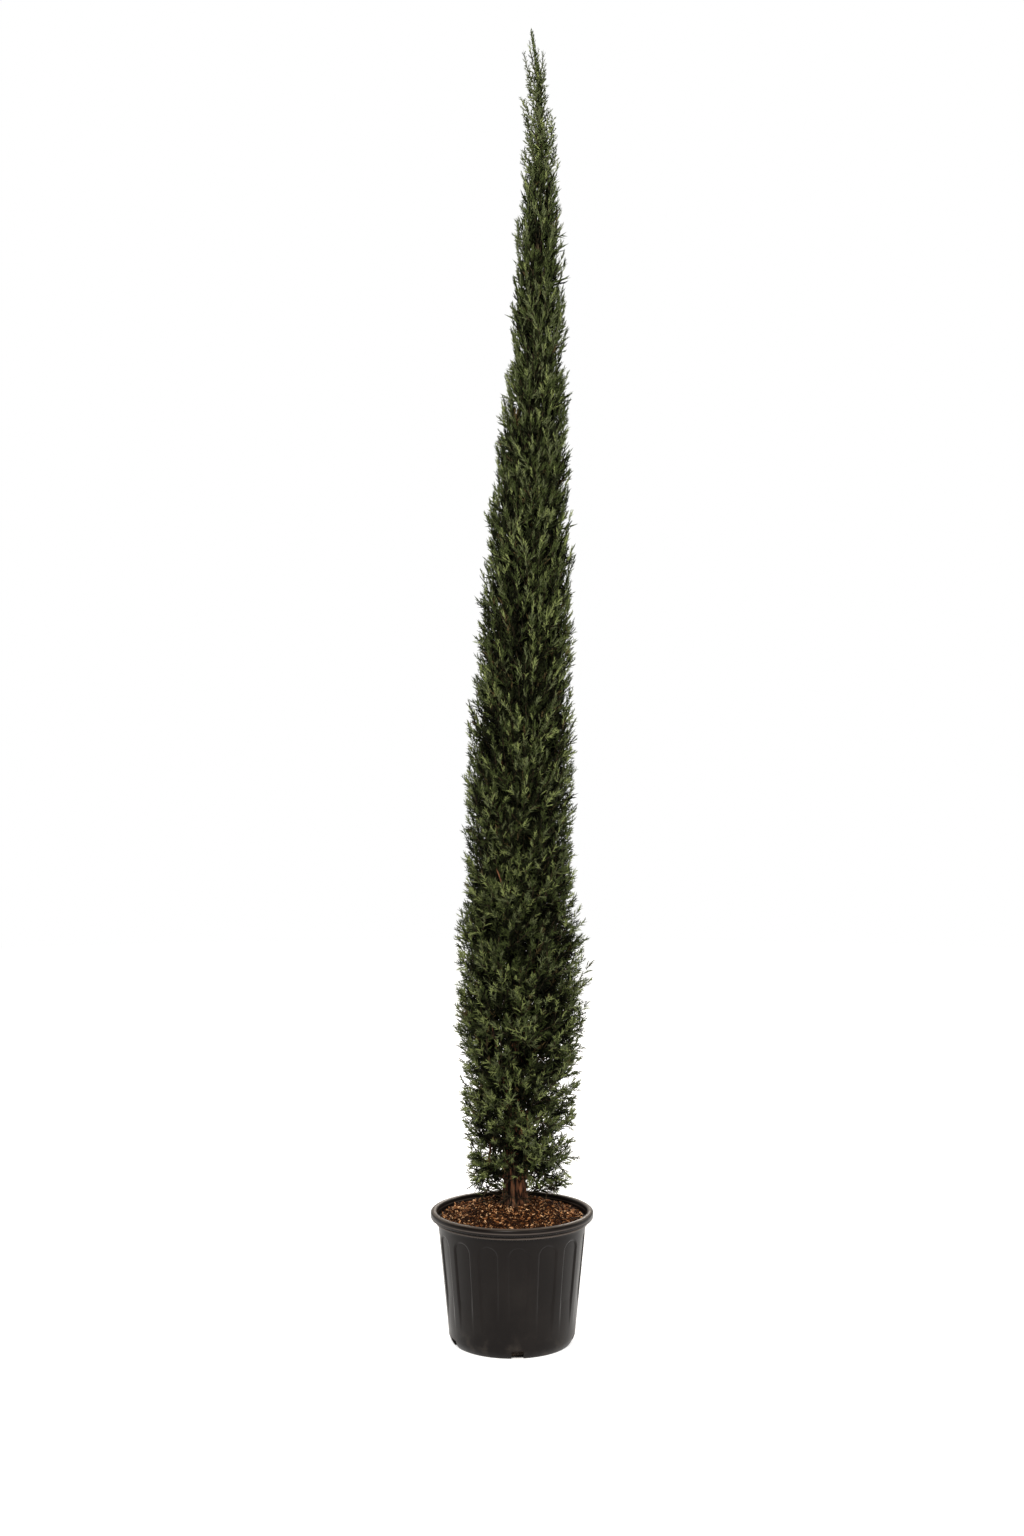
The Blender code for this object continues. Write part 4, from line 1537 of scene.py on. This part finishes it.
@dataclass
class Growth:
    """The twigs and sprigs of one piece of the crown, as they grow.

    The first open_kinds shapes of its sprigs are open ones, and the rest are narrow plumes. The hollows
    are the places between the plumes where darker greens paint shade, and lightness is that of the shoot
    that is growing.
    """

    sprigs: Scatter
    rng: random.Random
    open_kinds: int = 0
    lightness: float = 0.5
    twigs: list[Shape] = field(default_factory=list)
    tone_spread: float = 0.65
    inner_depth: float = 0.55
    middle_depth: float = 0.76
    outer_depth: float = 0.97
    low_down_shift: float = 0.09
    high_up_shift: float = 0.05
    hollow_shade_shift: float = 0.09
    hollow_shade_waves: float = 17.0
    hollows: Ramp = Ramp(0.05, 0.35)
    plumes: Ramp = Ramp(0.65, 0.75)

    def twig(self, path: Sequence[Vector], radius: float, tip_radius: float) -> None:
        """Add one bare twig.

        Args:
            path: Points along it, from its root to its tip.
            radius: Its radius near its root.
            tip_radius: Its radius near its tip.
        """
        count = len(path) - 2
        radii = [mix(radius, tip_radius, i / max(count - 1, 1)) for i in range(count)]
        self.twigs.append(limb_shape(path, radii))

    def sprig(self, root: Vector, direction: Vector, scale: float, out: float) -> None:
        """Add one sprig, in a green that is lighter the further out it grows, as painted light and shade.

        Args:
            root: Where it leaves its shoot.
            direction: The way it points.
            scale: Its size, 1 as modelled.
            out: How far out in the crown it is, from 0 at the axis to 1 at the outline.
        """
        turn = direction.to_track_quat("Y", "Z").to_matrix().to_4x4()
        roll = Matrix.Rotation(self.rng.uniform(0, 2 * math.pi), 4, "Y")
        matrix = Matrix.Translation(root) @ turn @ roll @ Matrix.Scale(scale, 4)
        self.sprigs.add(matrix, self.kind_at(root), self.green(self.shares_at(root, out)))

    def shares_at(self, root: Vector, out: float) -> list[float]:
        """The shares of the greens at a place, darker ones as painted shade in the hollows between the
        plumes.

        Args:
            root: The place.
            out: How far out in the crown it is, from 0 at the axis to 1 at the outline.

        Returns:
            A share for each green, in their order.
        """
        # Painted shade: darker greens in the hollows between the plumes; the shifts give lighter greens low
        # down and high up as painted light
        shade_hollow = self.hollows.at(noise.noise(root * self.hollow_shade_waves))
        shift = self.low_down_shift * LOW_DOWN.at(root.z) + self.high_up_shift * HIGH_UP.at(root.z)
        out += shift - self.hollow_shade_shift * shade_hollow
        if out < self.middle_depth:
            near, far = INNER_SHARES, MIDDLE_SHARES
            share = (out / self.middle_depth - self.inner_depth) / (1.0 - self.inner_depth)
        else:
            near, far = MIDDLE_SHARES, OUTER_SHARES
            share = (out - self.middle_depth) / (self.outer_depth - self.middle_depth)
        return [mix(low, high, smooth(share)) for low, high in zip(near.at(root.z), far.at(root.z))]

    def kind_at(self, root: Vector) -> int:
        """A shape of sprig: mostly open ones low down, narrow plumes higher up."""
        is_plume = not self.open_kinds or self.rng.random() < self.plumes.at(root.z)
        kinds = range(self.open_kinds, len(self.sprigs.shapes)) if is_plume else range(self.open_kinds)
        return self.rng.choice(kinds)

    def green(self, weights: Sequence[float]) -> int:
        """A green near the lightness of the whole shoot, in shares of the weights."""
        light = abs(self.lightness + self.rng.uniform(-self.tone_spread, self.tone_spread))
        left = min(light, 2 - light) * sum(weights)
        for tone, weight in enumerate(weights):
            left -= weight
            if left <= 0:
                return tone
        return len(weights) - 1

    def build(self, suffix: str, finishes: Sequence[bpy.types.Material], bark: bpy.types.Material) -> None:
        """Join the leaves and the twigs into one piece each, and dress them.

        Args:
            suffix: The end of the pieces' names and of the solid that the leaves stand for.
            finishes: The greens, in their order.
            bark: The twigs' finish.
        """
        leaves = self.sprigs.joined(f"leaves_{suffix}")
        finish_piece(leaves, finishes, Slot.FOLIAGE, f"foliage_{suffix}")
        wood = joined_shape(self.twigs)
        finish_piece(mesh_from_arrays(f"twigs_{suffix}", wood.points, wood.faces), [bark], Slot.BARK)


@dataclass(frozen=True)
class FoliageMass:
    """One mass: twigs from its stem or the trunk fork into shoots, which carry sprigs out to the outline.

    A reach or a depth is a share of the way from the tree's axis to the outline. A span holds the ends of
    a random range, or the values at a shoot's foot and at its tip.
    """

    space: Space
    bough: Bough
    twig_area: float = 0.00089
    slim_share: float = 1.6
    fewest_twigs: int = 10
    face_lift: float = 0.10
    lowest_lift: float = 0.004
    spread: float = 1.06
    inner_every: int = 4
    inner_reach: Span = (0.55, 0.86)
    outer_share: float = 0.95
    outer_reach: Span = (0.93, 1.02)
    stray_reach: Span = (1.03, 1.10)
    tip_lift: float = 0.12
    tip_jitter: float = 0.012
    heading_jitter: float = 0.22
    slopes: Span = (0.75, 3.3)
    steepening: Ramp = Ramp(0.34, 1.15)
    slope_range: Span = (0.6, 1.4)
    most_droop: float = 2.0
    drooping: Ramp = Ramp(0.36, -0.10)
    longest_drop: float = 0.16
    fork_out: Span = (0.22, 0.42)
    fork_lift: float = 0.022
    from_stem: float = 0.62
    lowest_root: float = -0.9
    root_lead: float = 0.12
    root_drop: float = 0.05
    root_lift: float = 0.004
    bends: Span = (0.02, 0.16)
    knee: float = 0.55
    side_count: tuple[int, int] = (1, 4)
    side_places: Span = (0.30, 0.88)
    side_flatness: float = 0.8
    side_angle: float = math.radians(33.0)
    side_angle_range: Span = (0.7, 1.4)
    side_reach: Span = (0.95, 1.03)
    side_sag: Span = (0.0, 0.12)
    side_knees: Span = (0.35, 0.7)
    side_size: float = 0.8
    shortest_side: float = 0.012
    longest_side: float = 0.055
    shoot_steps: int = 6
    twig_radius: float = 0.0012
    tip_radius: float = 0.0006
    sprig_step: float = 0.0051
    leafy_from: float = 0.30
    dense_from: float = 0.60
    thinnest: float = 0.45
    thinning: Ramp = Ramp(0.42, -0.10)
    open_angles: Span = (0.80, 0.45)
    angle_range: Span = (0.75, 1.2)
    narrowest: float = 0.52
    narrowing: Ramp = Ramp(0.6, 1.0)
    sizes: Span = (1.10, 0.74)
    size_range: Span = (0.8, 1.15)
    slim_size: float = 0.80
    inner_size: float = 1.7
    end_from: float = 0.9
    end_sink: float = 0.005
    end_size: float = 0.85
    end_size_range: Span = (0.85, 1.1)
    lowest_hem: float = 0.238
    hem: float = 0.246
    hem_slope: float = 0.25
    hem_depth: float = 0.045
    hem_waves: float = 28.0
    trunk_gap: float = 0.006
    smallest_reach: float = 0.001

    def lowest_level(self) -> float:
        """The level that its lowest twigs' tips lie on."""
        form = self.space.form
        lowest = form.crown_floor + self.lowest_lift - self.space.rise * form.crown_foot_radius
        return max(self.space.foot, lowest)

    def twig_count(self) -> int:
        """How many twigs the mass's outer face needs."""
        form = self.space.form
        span = self.space.top - self.lowest_level()
        radius = form.crown_radius((self.space.top + self.lowest_level()) / 2 + self.face_lift)
        width = 2 * self.space.half * radius
        slimness = mix(self.slim_share, 1.0, radius / form.widest_radius)
        return max(self.fewest_twigs, round(width * span / self.twig_area * slimness))

    def slope_at(self, height: float, rng: random.Random) -> float:
        """How steep a shoot is near the outline: open or drooping low down, ever steeper higher up."""
        slope = mix(*self.slopes, self.steepening.at(height)) * rng.uniform(*self.slope_range)
        if height < self.drooping.start:
            slope -= rng.uniform(0.0, self.most_droop) * self.drooping.at(height)
        return slope

    def grow(self, growth: Growth) -> None:
        """Grow all the twigs of the mass, their tips spread evenly over its outer face."""
        count = self.twig_count()
        for i in range(count):
            turn = math.remainder(i * GOLDEN_TURN, 2 * math.pi) / math.pi
            level = mix(self.lowest_level(), self.space.top, (i + 0.5) / count)
            self.grow_twig(growth, turn, level, i % self.inner_every == 0)

    def tip_at(self, turn: float, level: float, share: float, rng: random.Random) -> Vector:
        """A place near the outline.

        Args:
            turn: Its heading from the mass's middle, -1 and 1 at the mass's sides.
            level: The level that it lies on.
            share: How far out it lies.
            rng: Where its last bit of height comes from.

        Returns:
            The place.
        """
        form = self.space.form
        height = level + self.space.rise * form.crown_radius(level + self.tip_lift)
        outward = towards(self.space.heading_at(height) + turn * self.spread * self.space.half)
        radius = form.reach(form.axis_at(height) + outward) * share
        height = max(level + self.space.rise * radius, form.crown_floor)
        height += rng.uniform(-self.tip_jitter, self.tip_jitter)
        return form.axis_at(height) + radius * outward

    def reach_of_tip(self, inner: bool, rng: random.Random) -> float:
        """How far out a twig's tip lies: inside the crown, near its outline, or strayed past that."""
        if inner:
            return rng.uniform(*self.inner_reach)
        return rng.uniform(*(self.outer_reach if rng.random() < self.outer_share else self.stray_reach))

    def root_and_fork(self, tip: Vector, turn: float, rng: random.Random) -> tuple[Vector, Vector]:
        """Where the twig to a tip starts and where it forks.

        Args:
            tip: The tip.
            turn: The tip's heading from the mass's middle, -1 and 1 at the mass's sides.
            rng: Where the fork's heading, distance and drop come from.

        Returns:
            Its root, on the mass's stem near the middle or else on the tree's axis, and its fork.
        """
        form = self.space.form
        offset = tip - form.axis_at(tip.z)
        radius = math.hypot(offset.x, offset.y)
        heading = math.atan2(offset.y, offset.x) + rng.gauss(0.0, self.heading_jitter)
        out = radius * rng.uniform(*self.fork_out)
        drop = min(self.slope_at(tip.z, rng) * (radius - out), self.longest_drop)
        height = max(tip.z - drop, form.trunk_foot + self.fork_lift)
        fork = form.axis_at(height) + out * towards(heading)
        level = fork.z - self.space.rise * out
        along = 2 * (level - self.space.core_level) / (self.space.top - self.space.core_level) - 1
        if abs(turn) < self.from_stem and along > self.lowest_root:
            return self.bough.stem_at(min(along - self.root_lead, self.bough.stem_top)), fork
        return form.axis_at(max(fork.z - self.root_drop, form.trunk_foot + self.root_lift)), fork

    def grow_twig(self, growth: Growth, turn: float, level: float, inner: bool) -> None:
        """One twig to its tip near the outline, with its own shoot and its side shoots.

        Args:
            growth: What the twig is added to.
            turn: Its tip's heading from the mass's middle, -1 and 1 at the mass's sides.
            level: The level that its tip lies on.
            inner: Whether it ends inside the crown.
        """
        rng = growth.rng
        reach = self.reach_of_tip(inner, rng)
        tip = self.tip_at(turn, level, reach, rng)
        root, fork = self.root_and_fork(tip, turn, rng)
        run = tip - fork
        bend = UP * run.length * rng.uniform(*self.bends)
        self.shoot(growth, [root, fork, fork + run * self.knee - bend, tip], 1.0)
        self.grow_side_shoots(growth, fork, run, bend, reach)

    def grow_side_shoots(
        self, growth: Growth, fork: Vector, run: Vector, bend: Vector, reach: float
    ) -> None:
        """Side shoots all round a twig's outer part.

        Args:
            growth: What they are added to.
            fork: Where the outer part starts.
            run: The way from there to the twig's tip.
            bend: How far the twig sags on that way.
            reach: How far out the twig's tip lies.
        """
        rng = growth.rng
        ahead = run.normalized()
        side = ahead.cross(UP).normalized()
        lift = side.cross(ahead)
        first_turn = rng.uniform(0, 2 * math.pi)
        for k in range(rng.randint(*self.side_count)):
            share = rng.uniform(*self.side_places)
            root = fork + run * share - bend * share
            angle = first_turn + k * GOLDEN_TURN
            away = side * math.cos(angle) + lift * math.sin(angle) * self.side_flatness
            off = ahead + away * math.tan(self.side_angle) * rng.uniform(*self.side_angle_range)
            off = off.normalized()
            length = self.space.room(root, off, reach * rng.uniform(*self.side_reach), self.longest_side)
            if length > self.shortest_side:
                sag = UP * (length * rng.uniform(*self.side_sag))
                knees = [root + off * length * knee - sag for knee in self.side_knees]
                self.shoot(growth, [root, *knees, root + off * length], self.side_size)

    def shoot(self, growth: Growth, anchors: Sequence[Vector], size: float) -> None:
        """A shoot along a curve, with sprigs all round its outer part.

        Args:
            growth: What it is added to.
            anchors: The four anchors of its curve, from its foot to its tip.
            size: How thick its wood is, 1 for a twig's own shoot.
        """
        rng = growth.rng
        growth.lightness = rng.random()
        path = [curve_through(anchors, i / self.shoot_steps) for i in range(self.shoot_steps + 1)]
        length = sum((b - a).length for a, b in zip(path, path[1:]))
        growth.twig(path, self.twig_radius * size, self.tip_radius)
        form = self.space.form
        turn = rng.uniform(0, 2 * math.pi)
        count = max(2, round(length / self.sprig_step))
        for i in range(count):
            share = (i + 0.5) / count
            root = curve_through(anchors, share)
            depth = self.depth_of(root)
            inside = depth < self.dense_from
            if depth < self.leafy_from or (inside and (i % 2 or rng.random() < self.thinness_at(root.z))):
                continue
            turn += GOLDEN_TURN
            angle = mix(*self.open_angles, share) * rng.uniform(*self.angle_range)
            angle *= mix(1.0, self.narrowest, self.narrowing.at(root.z))
            direction = opened(way_along(anchors, share), turn, angle)
            scale = mix(*self.sizes, share) * rng.uniform(*self.size_range)
            scale *= mix(self.slim_size, 1.0, form.crown_radius(root.z) / form.widest_radius)
            scale *= self.inner_size if inside else 1.0
            self.sprig(growth, root, direction, scale)
        ahead = (anchors[3] - curve_through(anchors, self.end_from)).normalized()
        scale = self.end_size * rng.uniform(*self.end_size_range)
        self.sprig(growth, anchors[3] - ahead * self.end_sink, ahead, scale)

    def sprig(self, growth: Growth, root: Vector, direction: Vector, scale: float) -> None:
        """One sprig, if it is over the mulch, clear of the trunk and outside the thin spots.

        Args:
            growth: What it is added to.
            root: Where it starts.
            direction: The way it points.
            scale: Its size, 1 for the sprig as it was made.
        """
        form = self.space.form
        tip = root + direction * SPRIGS.length * scale
        middle = (root + tip) / 2
        is_level = self.hem_at(tip) < tip.z < form.tip
        is_clear = (tip - form.axis_at(tip.z)).length > form.trunk_radius(tip.z) + self.trunk_gap
        if is_level and is_clear and not any(spot.open_at(middle, growth.rng) for spot in THIN_SPOTS):
            growth.sprig(root, direction, scale, self.depth_of(middle))

    def hem_at(self, place: Vector) -> float:
        """The height of the crown's ragged lower edge at a place, higher towards the front."""
        edge = max(self.lowest_hem, self.hem - self.hem_slope * place.y)
        return edge + self.hem_depth * abs(noise.noise(place * self.hem_waves))

    def thinness_at(self, height: float) -> float:
        """The share of the deep sprigs left out, where the sky shows through the crown's foot."""
        return self.thinnest * self.thinning.at(height)

    def depth_of(self, point: Vector) -> float:
        """How far out in the crown a point is, from 0 at the axis to 1 at the outline."""
        offset = point - self.space.form.axis_at(point.z)
        return math.hypot(offset.x, offset.y) / max(self.space.form.reach(point), self.smallest_reach)


@dataclass(frozen=True)
class ThinSpot:
    """A place in the lower crown, seen from the front, where what lies behind it shows through."""

    x: float
    height: float
    radius: float
    openness: float = 0.70
    front_only: bool = False
    front_from: float = -0.03

    def open_at(self, point: Vector, rng: random.Random) -> bool:
        """Whether a sprig with this middle is left out."""
        if self.front_only and point.y > self.front_from:
            return False
        nearness = CAMERA_DISTANCE / (CAMERA_DISTANCE + point.y)
        height = CAMERA_HEIGHT + (point.z - CAMERA_HEIGHT) * nearness
        away = math.hypot(point.x * nearness - self.x, height - self.height)
        return away < self.radius and rng.random() < self.openness


THIN_SPOTS = (
    ThinSpot(0.048, 0.471, 0.010),
    ThinSpot(0.048, 0.368, 0.013),
    ThinSpot(-0.041, 0.311, 0.012),
    ThinSpot(-0.038, 0.262, 0.008),
    ThinSpot(0.006, 0.238, 0.026, 1.0),
    ThinSpot(0.004, 0.266, 0.019, 0.95),
    ThinSpot(-0.012, 0.435, 0.009, 0.80, True),
    ThinSpot(-0.018, 0.465, 0.009, 0.80, True),
    ThinSpot(-0.027, 0.500, 0.008, 0.70, True),
)


@dataclass(frozen=True)
class SideStems:
    """Thin side stems that show brown between the lower sprays."""

    paths: tuple[tuple[Point, ...], ...] = (
        ((0.004, -0.012, 0.315), (0.004, -0.032, 0.360), (-0.014, -0.050, 0.455), (-0.036, -0.060, 0.550)),
        ((-0.004, -0.030, 0.715), (-0.010, -0.070, 0.752), (-0.016, -0.088, 0.775), (-0.026, -0.094, 0.800)),
    )
    foot_radii: tuple[float, ...] = (0.0034, 0.0016)
    tip_share: float = 0.45
    sides: int = 8
    steps: int = 12

    def build(self, bark: bpy.types.Material) -> None:
        """Model and dress the stems as one piece."""
        made = []
        for anchors, radius in zip(self.paths, self.foot_radii):
            curve = [Vector(anchor) for anchor in anchors]
            points = [curve_through(curve, i / self.steps) for i in range(self.steps + 1)]
            radii = [radius * mix(1.0, self.tip_share, i / self.steps) for i in range(self.steps - 1)]
            made.append(limb_shape(points, radii, self.sides))
        stems = joined_shape(made)
        finish_piece(mesh_from_arrays("side_stems", stems.points, stems.faces), [bark], Slot.BARK)


@dataclass(frozen=True)
class Leader:
    """The sparse top: the trunk's own shoot, hooked at its tip, with side tufts."""

    form: TreeForm
    axis_sprigs: int = 200
    tuft_step: float = 0.0042
    tufts: tuple[Point, ...] = (
        (0.0194, 0.004, 2.176),
        (0.0290, -0.006, 2.190),
        (0.0440, 0.002, 2.182),
        (0.0531, -0.004, 2.173),
        (0.0261, -0.006, 2.132),
        (0.0500, 0.006, 2.140),
        (0.0550, -0.004, 2.150),
        (0.0177, 0.003, 2.095),
        (0.0560, -0.008, 2.100),
        (0.0380, -0.018, 2.110),
        (0.0430, 0.018, 2.085),
        (0.0300, 0.004, 2.112),
        (0.0620, 0.006, 2.076),
        (0.0699, 0.004, 2.050),
        (0.0716, -0.006, 2.030),
        (0.0733, 0.008, 2.016),
        (0.0244, -0.006, 2.035),
        (0.0250, 0.006, 2.062),
        (0.0350, -0.020, 2.060),
        (0.0520, -0.020, 2.045),
        (0.0300, 0.018, 2.040),
        (0.0580, 0.018, 2.030),
        (0.0450, -0.024, 2.075),
        (0.0450, 0.000, 2.120),
        (0.0200, 0.010, 2.012),
        (0.0745, -0.002, 1.998),
        (0.0165, -0.008, 1.992),
        (0.0300, -0.026, 2.020),
        (0.0620, -0.022, 2.004),
        (0.0450, 0.028, 2.012),
        (0.0450, -0.030, 1.988),
        (0.0200, 0.000, 2.070),
        (0.0690, -0.008, 2.062),
    )

    foot_drop: float = 0.01
    stem_steps: int = 14
    stem_end: float = 0.004
    stem_tip_radius: float = 0.0006
    bare_end: float = 0.010
    slopes: Span = (1.5, 3.4)
    slope_range: Span = (0.7, 1.3)
    axis_sizes: Span = (1.35, 0.50)
    axis_size_range: Span = (0.8, 1.15)
    axis_depths: Span = (0.76, 0.88)
    end_run: float = 0.02
    end_sink: float = 0.013
    end_size: float = 0.80
    tuft_drops: Span = (0.045, 0.075)
    bow: float = 0.25
    knees: Span = (0.33, 0.66)
    tuft_steps: int = 5
    tuft_radius: float = 0.0011
    tuft_tip_radius: float = 0.0005
    fewest_sprigs: int = 4
    leafy_from: float = 0.2
    open_angles: Span = (0.85, 0.48)
    tuft_sizes: Span = (1.15, 0.70)
    tuft_size_range: Span = (0.85, 1.1)
    top_size: float = 0.62
    topmost: Ramp = Ramp(2.10, 0.08)
    sink: float = 0.009
    tuft_depths: Span = (0.88, 1.0)

    def grow(self, growth: Growth) -> None:
        """Grow the leader and its tufts."""
        form = self.form
        foot = form.trunk_top - self.foot_drop
        shares = [i / self.stem_steps for i in range(self.stem_steps + 1)]
        path = [form.axis_at(mix(foot, form.tip - self.stem_end, share)) for share in shares]
        growth.twig(path, form.trunk_tip_radius, self.stem_tip_radius)
        for i in range(self.axis_sprigs):
            height = mix(foot, form.tip - self.bare_end, (i + 0.5) / self.axis_sprigs)
            self.axis_sprig(growth, height, i * GOLDEN_TURN)
        for x, y, z in self.tufts:
            drop = growth.rng.uniform(*self.tuft_drops)
            root = form.axis_at(max(z - drop, form.trunk_top))
            self.tuft(growth, root, Vector((x, y, z)))
        end = form.axis_at(form.tip)
        ahead = (end - form.axis_at(form.tip - self.end_run)).normalized()
        growth.sprig(end - ahead * self.end_sink, ahead, self.end_size, 1.0)

    def axis_sprig(self, growth: Growth, height: float, turn: float) -> None:
        """One sprig straight off the leader.

        Args:
            growth: What it is added to.
            height: The height of its root.
            turn: Its heading.
        """
        share = (height - self.form.trunk_top) / (self.form.tip - self.form.trunk_top)
        growth.lightness = growth.rng.random()
        slope = mix(*self.slopes, share) * growth.rng.uniform(*self.slope_range)
        direction = Vector((math.cos(turn), math.sin(turn), slope)).normalized()
        scale = mix(*self.axis_sizes, share) * growth.rng.uniform(*self.axis_size_range)
        growth.sprig(self.form.axis_at(height), direction, scale, mix(*self.axis_depths, share))

    def tuft(self, growth: Growth, root: Vector, tip: Vector) -> None:
        """A short shoot off the leader, with sprigs along it.

        Args:
            growth: What it is added to.
            root: Where it leaves the leader.
            tip: Where it ends.
        """
        rng = growth.rng
        growth.lightness = rng.random()
        run = tip - root
        bow = Vector((run.x, run.y, 0.0)) * self.bow
        anchors = [root, *(root + run * knee + bow for knee in self.knees), tip]
        path = [curve_through(anchors, i / self.tuft_steps) for i in range(self.tuft_steps + 1)]
        growth.twig(path, self.tuft_radius, self.tuft_tip_radius)
        count = max(self.fewest_sprigs, round(run.length / self.tuft_step))
        for i in range(count):
            share = mix(self.leafy_from, 1.0, i / (count - 1))
            at = curve_through(anchors, share)
            ahead = way_along(anchors, share)
            direction = opened(ahead, i * GOLDEN_TURN, mix(*self.open_angles, share))
            scale = mix(*self.tuft_sizes, share) * mix(1.0, self.top_size, self.topmost.at(at.z))
            scale *= rng.uniform(*self.tuft_size_range)
            growth.sprig(at - ahead * self.sink, direction, scale, mix(*self.tuft_depths, share))


# Studio


@dataclass(frozen=True)
class Studio:
    """The camera at the photograph's angle, soft light and a plain pale floor."""

    lens: float = 41.72
    floor_radius: float = 7.0
    white: Colour = (1.0, 1.0, 1.0)
    lamp_tint: Colour = (1.0, 0.94, 0.86)
    front_light: float = 0.17
    back_light: float = 0.46
    light_front: float = -0.3
    light_back: float = 0.8
    floor_grey: Colour = (0.50, 0.50, 0.50)
    near_glow: Colour = (0.78, 0.78, 0.78)
    no_glow: Colour = (0.0, 0.0, 0.0)
    glow_spread: Span = (0.4, 2.4)
    pot_foot: Span = (0.090, 0.102)

    def camera(self) -> None:
        """A level camera in front of the plant."""
        data = bpy.data.cameras.new("front_camera")
        data.lens = self.lens
        data.sensor_width = 36.0
        camera = bpy.data.objects.new("front_camera", data)
        camera.location = (0.0, -CAMERA_DISTANCE, CAMERA_HEIGHT)
        camera.rotation_euler = (math.pi / 2, 0.0, 0.0)
        bpy.context.scene.collection.objects.link(camera)
        bpy.context.scene.camera = camera

    def lamp(self, name: str, place: Point, size: float, power: float) -> None:
        """One square soft light, turned to the middle of the plant.

        Args:
            name: Its name.
            place: Where it hangs.
            size: Its width.
            power: Its power in watts.
        """
        data = bpy.data.lights.new(name, "AREA")
        data.size = size
        data.energy = power
        data.color = self.lamp_tint
        lamp = bpy.data.objects.new(name, data)
        lamp.location = place
        aim = UP - Vector(place)  # one metre up is the middle of the plant
        lamp.rotation_euler = aim.to_track_quat("-Z", "Y").to_euler()
        bpy.context.scene.collection.objects.link(lamp)

    def surroundings(self) -> None:
        """A white backdrop, which lights the plant more from behind than from the front."""
        world = bpy.data.worlds.new("studio")
        world.use_nodes = True
        nodes, links = world.node_tree.nodes, world.node_tree.links
        background = nodes["Background"]
        place = nodes.new("ShaderNodeTexCoord")
        split = nodes.new("ShaderNodeSeparateXYZ")
        depth = nodes.new("ShaderNodeMapRange")
        depth.interpolation_type = "SMOOTHSTEP"
        seen = nodes.new("ShaderNodeLightPath")
        strength = nodes.new("ShaderNodeMix")
        links.new(place.outputs["Generated"], split.inputs[0])
        links.new(split.outputs["Y"], depth.inputs["Value"])
        depth.inputs["From Min"].default_value = self.light_front
        depth.inputs["From Max"].default_value = self.light_back
        depth.inputs["To Min"].default_value = self.front_light
        depth.inputs["To Max"].default_value = self.back_light
        links.new(seen.outputs["Is Camera Ray"], strength.inputs["Factor"])
        links.new(depth.outputs["Result"], strength.inputs["A"])
        strength.inputs["B"].default_value = 1.0
        links.new(strength.outputs["Result"], background.inputs["Strength"])
        tint = nodes.new("ShaderNodeMix")
        tint.data_type = "RGBA"
        tint.inputs[6].default_value = (*self.lamp_tint, 1.0)
        tint.inputs[7].default_value = (*self.white, 1.0)
        links.new(seen.outputs["Is Camera Ray"], tint.inputs["Factor"])
        links.new(tint.outputs[2], background.inputs["Color"])
        bpy.context.scene.world = world

    def floor(self) -> None:
        """A pale floor, so bright that it meets the backdrop without a line."""
        floor = begin(
            "floor",
            bpy.ops.mesh.primitive_circle_add,
            vertices=96,
            radius=self.floor_radius,
            fill_type="NGON",
            location=(0.0, 0.0, 0.0),
        )
        bpy.ops.object.mode_set(mode="OBJECT")
        shading = Shading("floor_white")
        shading.dress(self.floor_grey, 0.9)
        distance = shading.node("ShaderNodeVectorMath", {"operation": "LENGTH"}, {0: shading.place})
        away = Value(shading, distance.outputs["Value"])
        glow = shading.blend(away.between(*self.glow_spread), self.near_glow, self.white)
        glow = shading.blend(away.between(*self.pot_foot), self.no_glow, glow)
        shading.feed(shading.shader.inputs["Emission Color"], glow)
        shading.feed(shading.shader.inputs["Emission Strength"], 1.0)
        floor.data.materials.append(shading.material)

    def build(self) -> None:
        """Set up the whole studio."""
        self.camera()
        self.surroundings()
        self.floor()
        self.lamp("key_light", (-0.5, -3.1, 3.3), 0.6, 178.0)
        self.lamp("fill_light", (1.9, -2.4, 1.7), 1.2, 38.0)
        self.lamp("left_light", (-3.2, 1.8, 2.2), 1.6, 19.0)
        self.lamp("right_light", (3.2, 1.8, 2.2), 1.6, 26.0)
        self.lamp("back_light", (0.4, 3.2, 2.6), 1.6, 120.0)
        bpy.context.scene.view_settings.view_transform = "Standard"


def main() -> None:
    """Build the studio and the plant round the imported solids."""
    logging.basicConfig(level=logging.INFO, format="%(name)s %(message)s")
    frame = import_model()
    Studio().build()

    Pot().build()
    Mulch().build()
    root_ball = frame["nodes"]["root_ball"].data
    root_ball.materials.clear()
    root_ball.materials.append(PottingMix().material())

    form = TreeForm()
    bark = Bark().material()
    twig_bark = TWIG_BARK.material()
    greens = [green.material() for green in GREENS]
    shapes = SPRIGS.shapes() + PLUME_SPRIGS.shapes()
    Trunk(form).build(bark)
    for number, space in enumerate(tree_spaces(form), start=1):
        bough = Bough(space, number)
        bough.build(bark)
        rng = random.Random(SEED + MASS_SEED_STEP * number)
        growth = Growth(Scatter(shapes), rng, SPRIGS.kinds)
        FoliageMass(space, bough).grow(growth)
        growth.build(f"{number:02d}", greens, twig_bark)
    growth = Growth(Scatter(TOP_SPRIGS.shapes()), random.Random(LEADER_SEED))
    Leader(form).grow(growth)
    growth.build("leader", greens, twig_bark)
    SideStems().build(bark)

    grown = [obj for obj in bpy.data.objects if obj.name.startswith(("leaves", "twigs"))]
    LOG.info("leaves and twigs: %d triangles", sum(len(obj.data.polygons) for obj in grown))


if __name__ == "__main__":
    main()
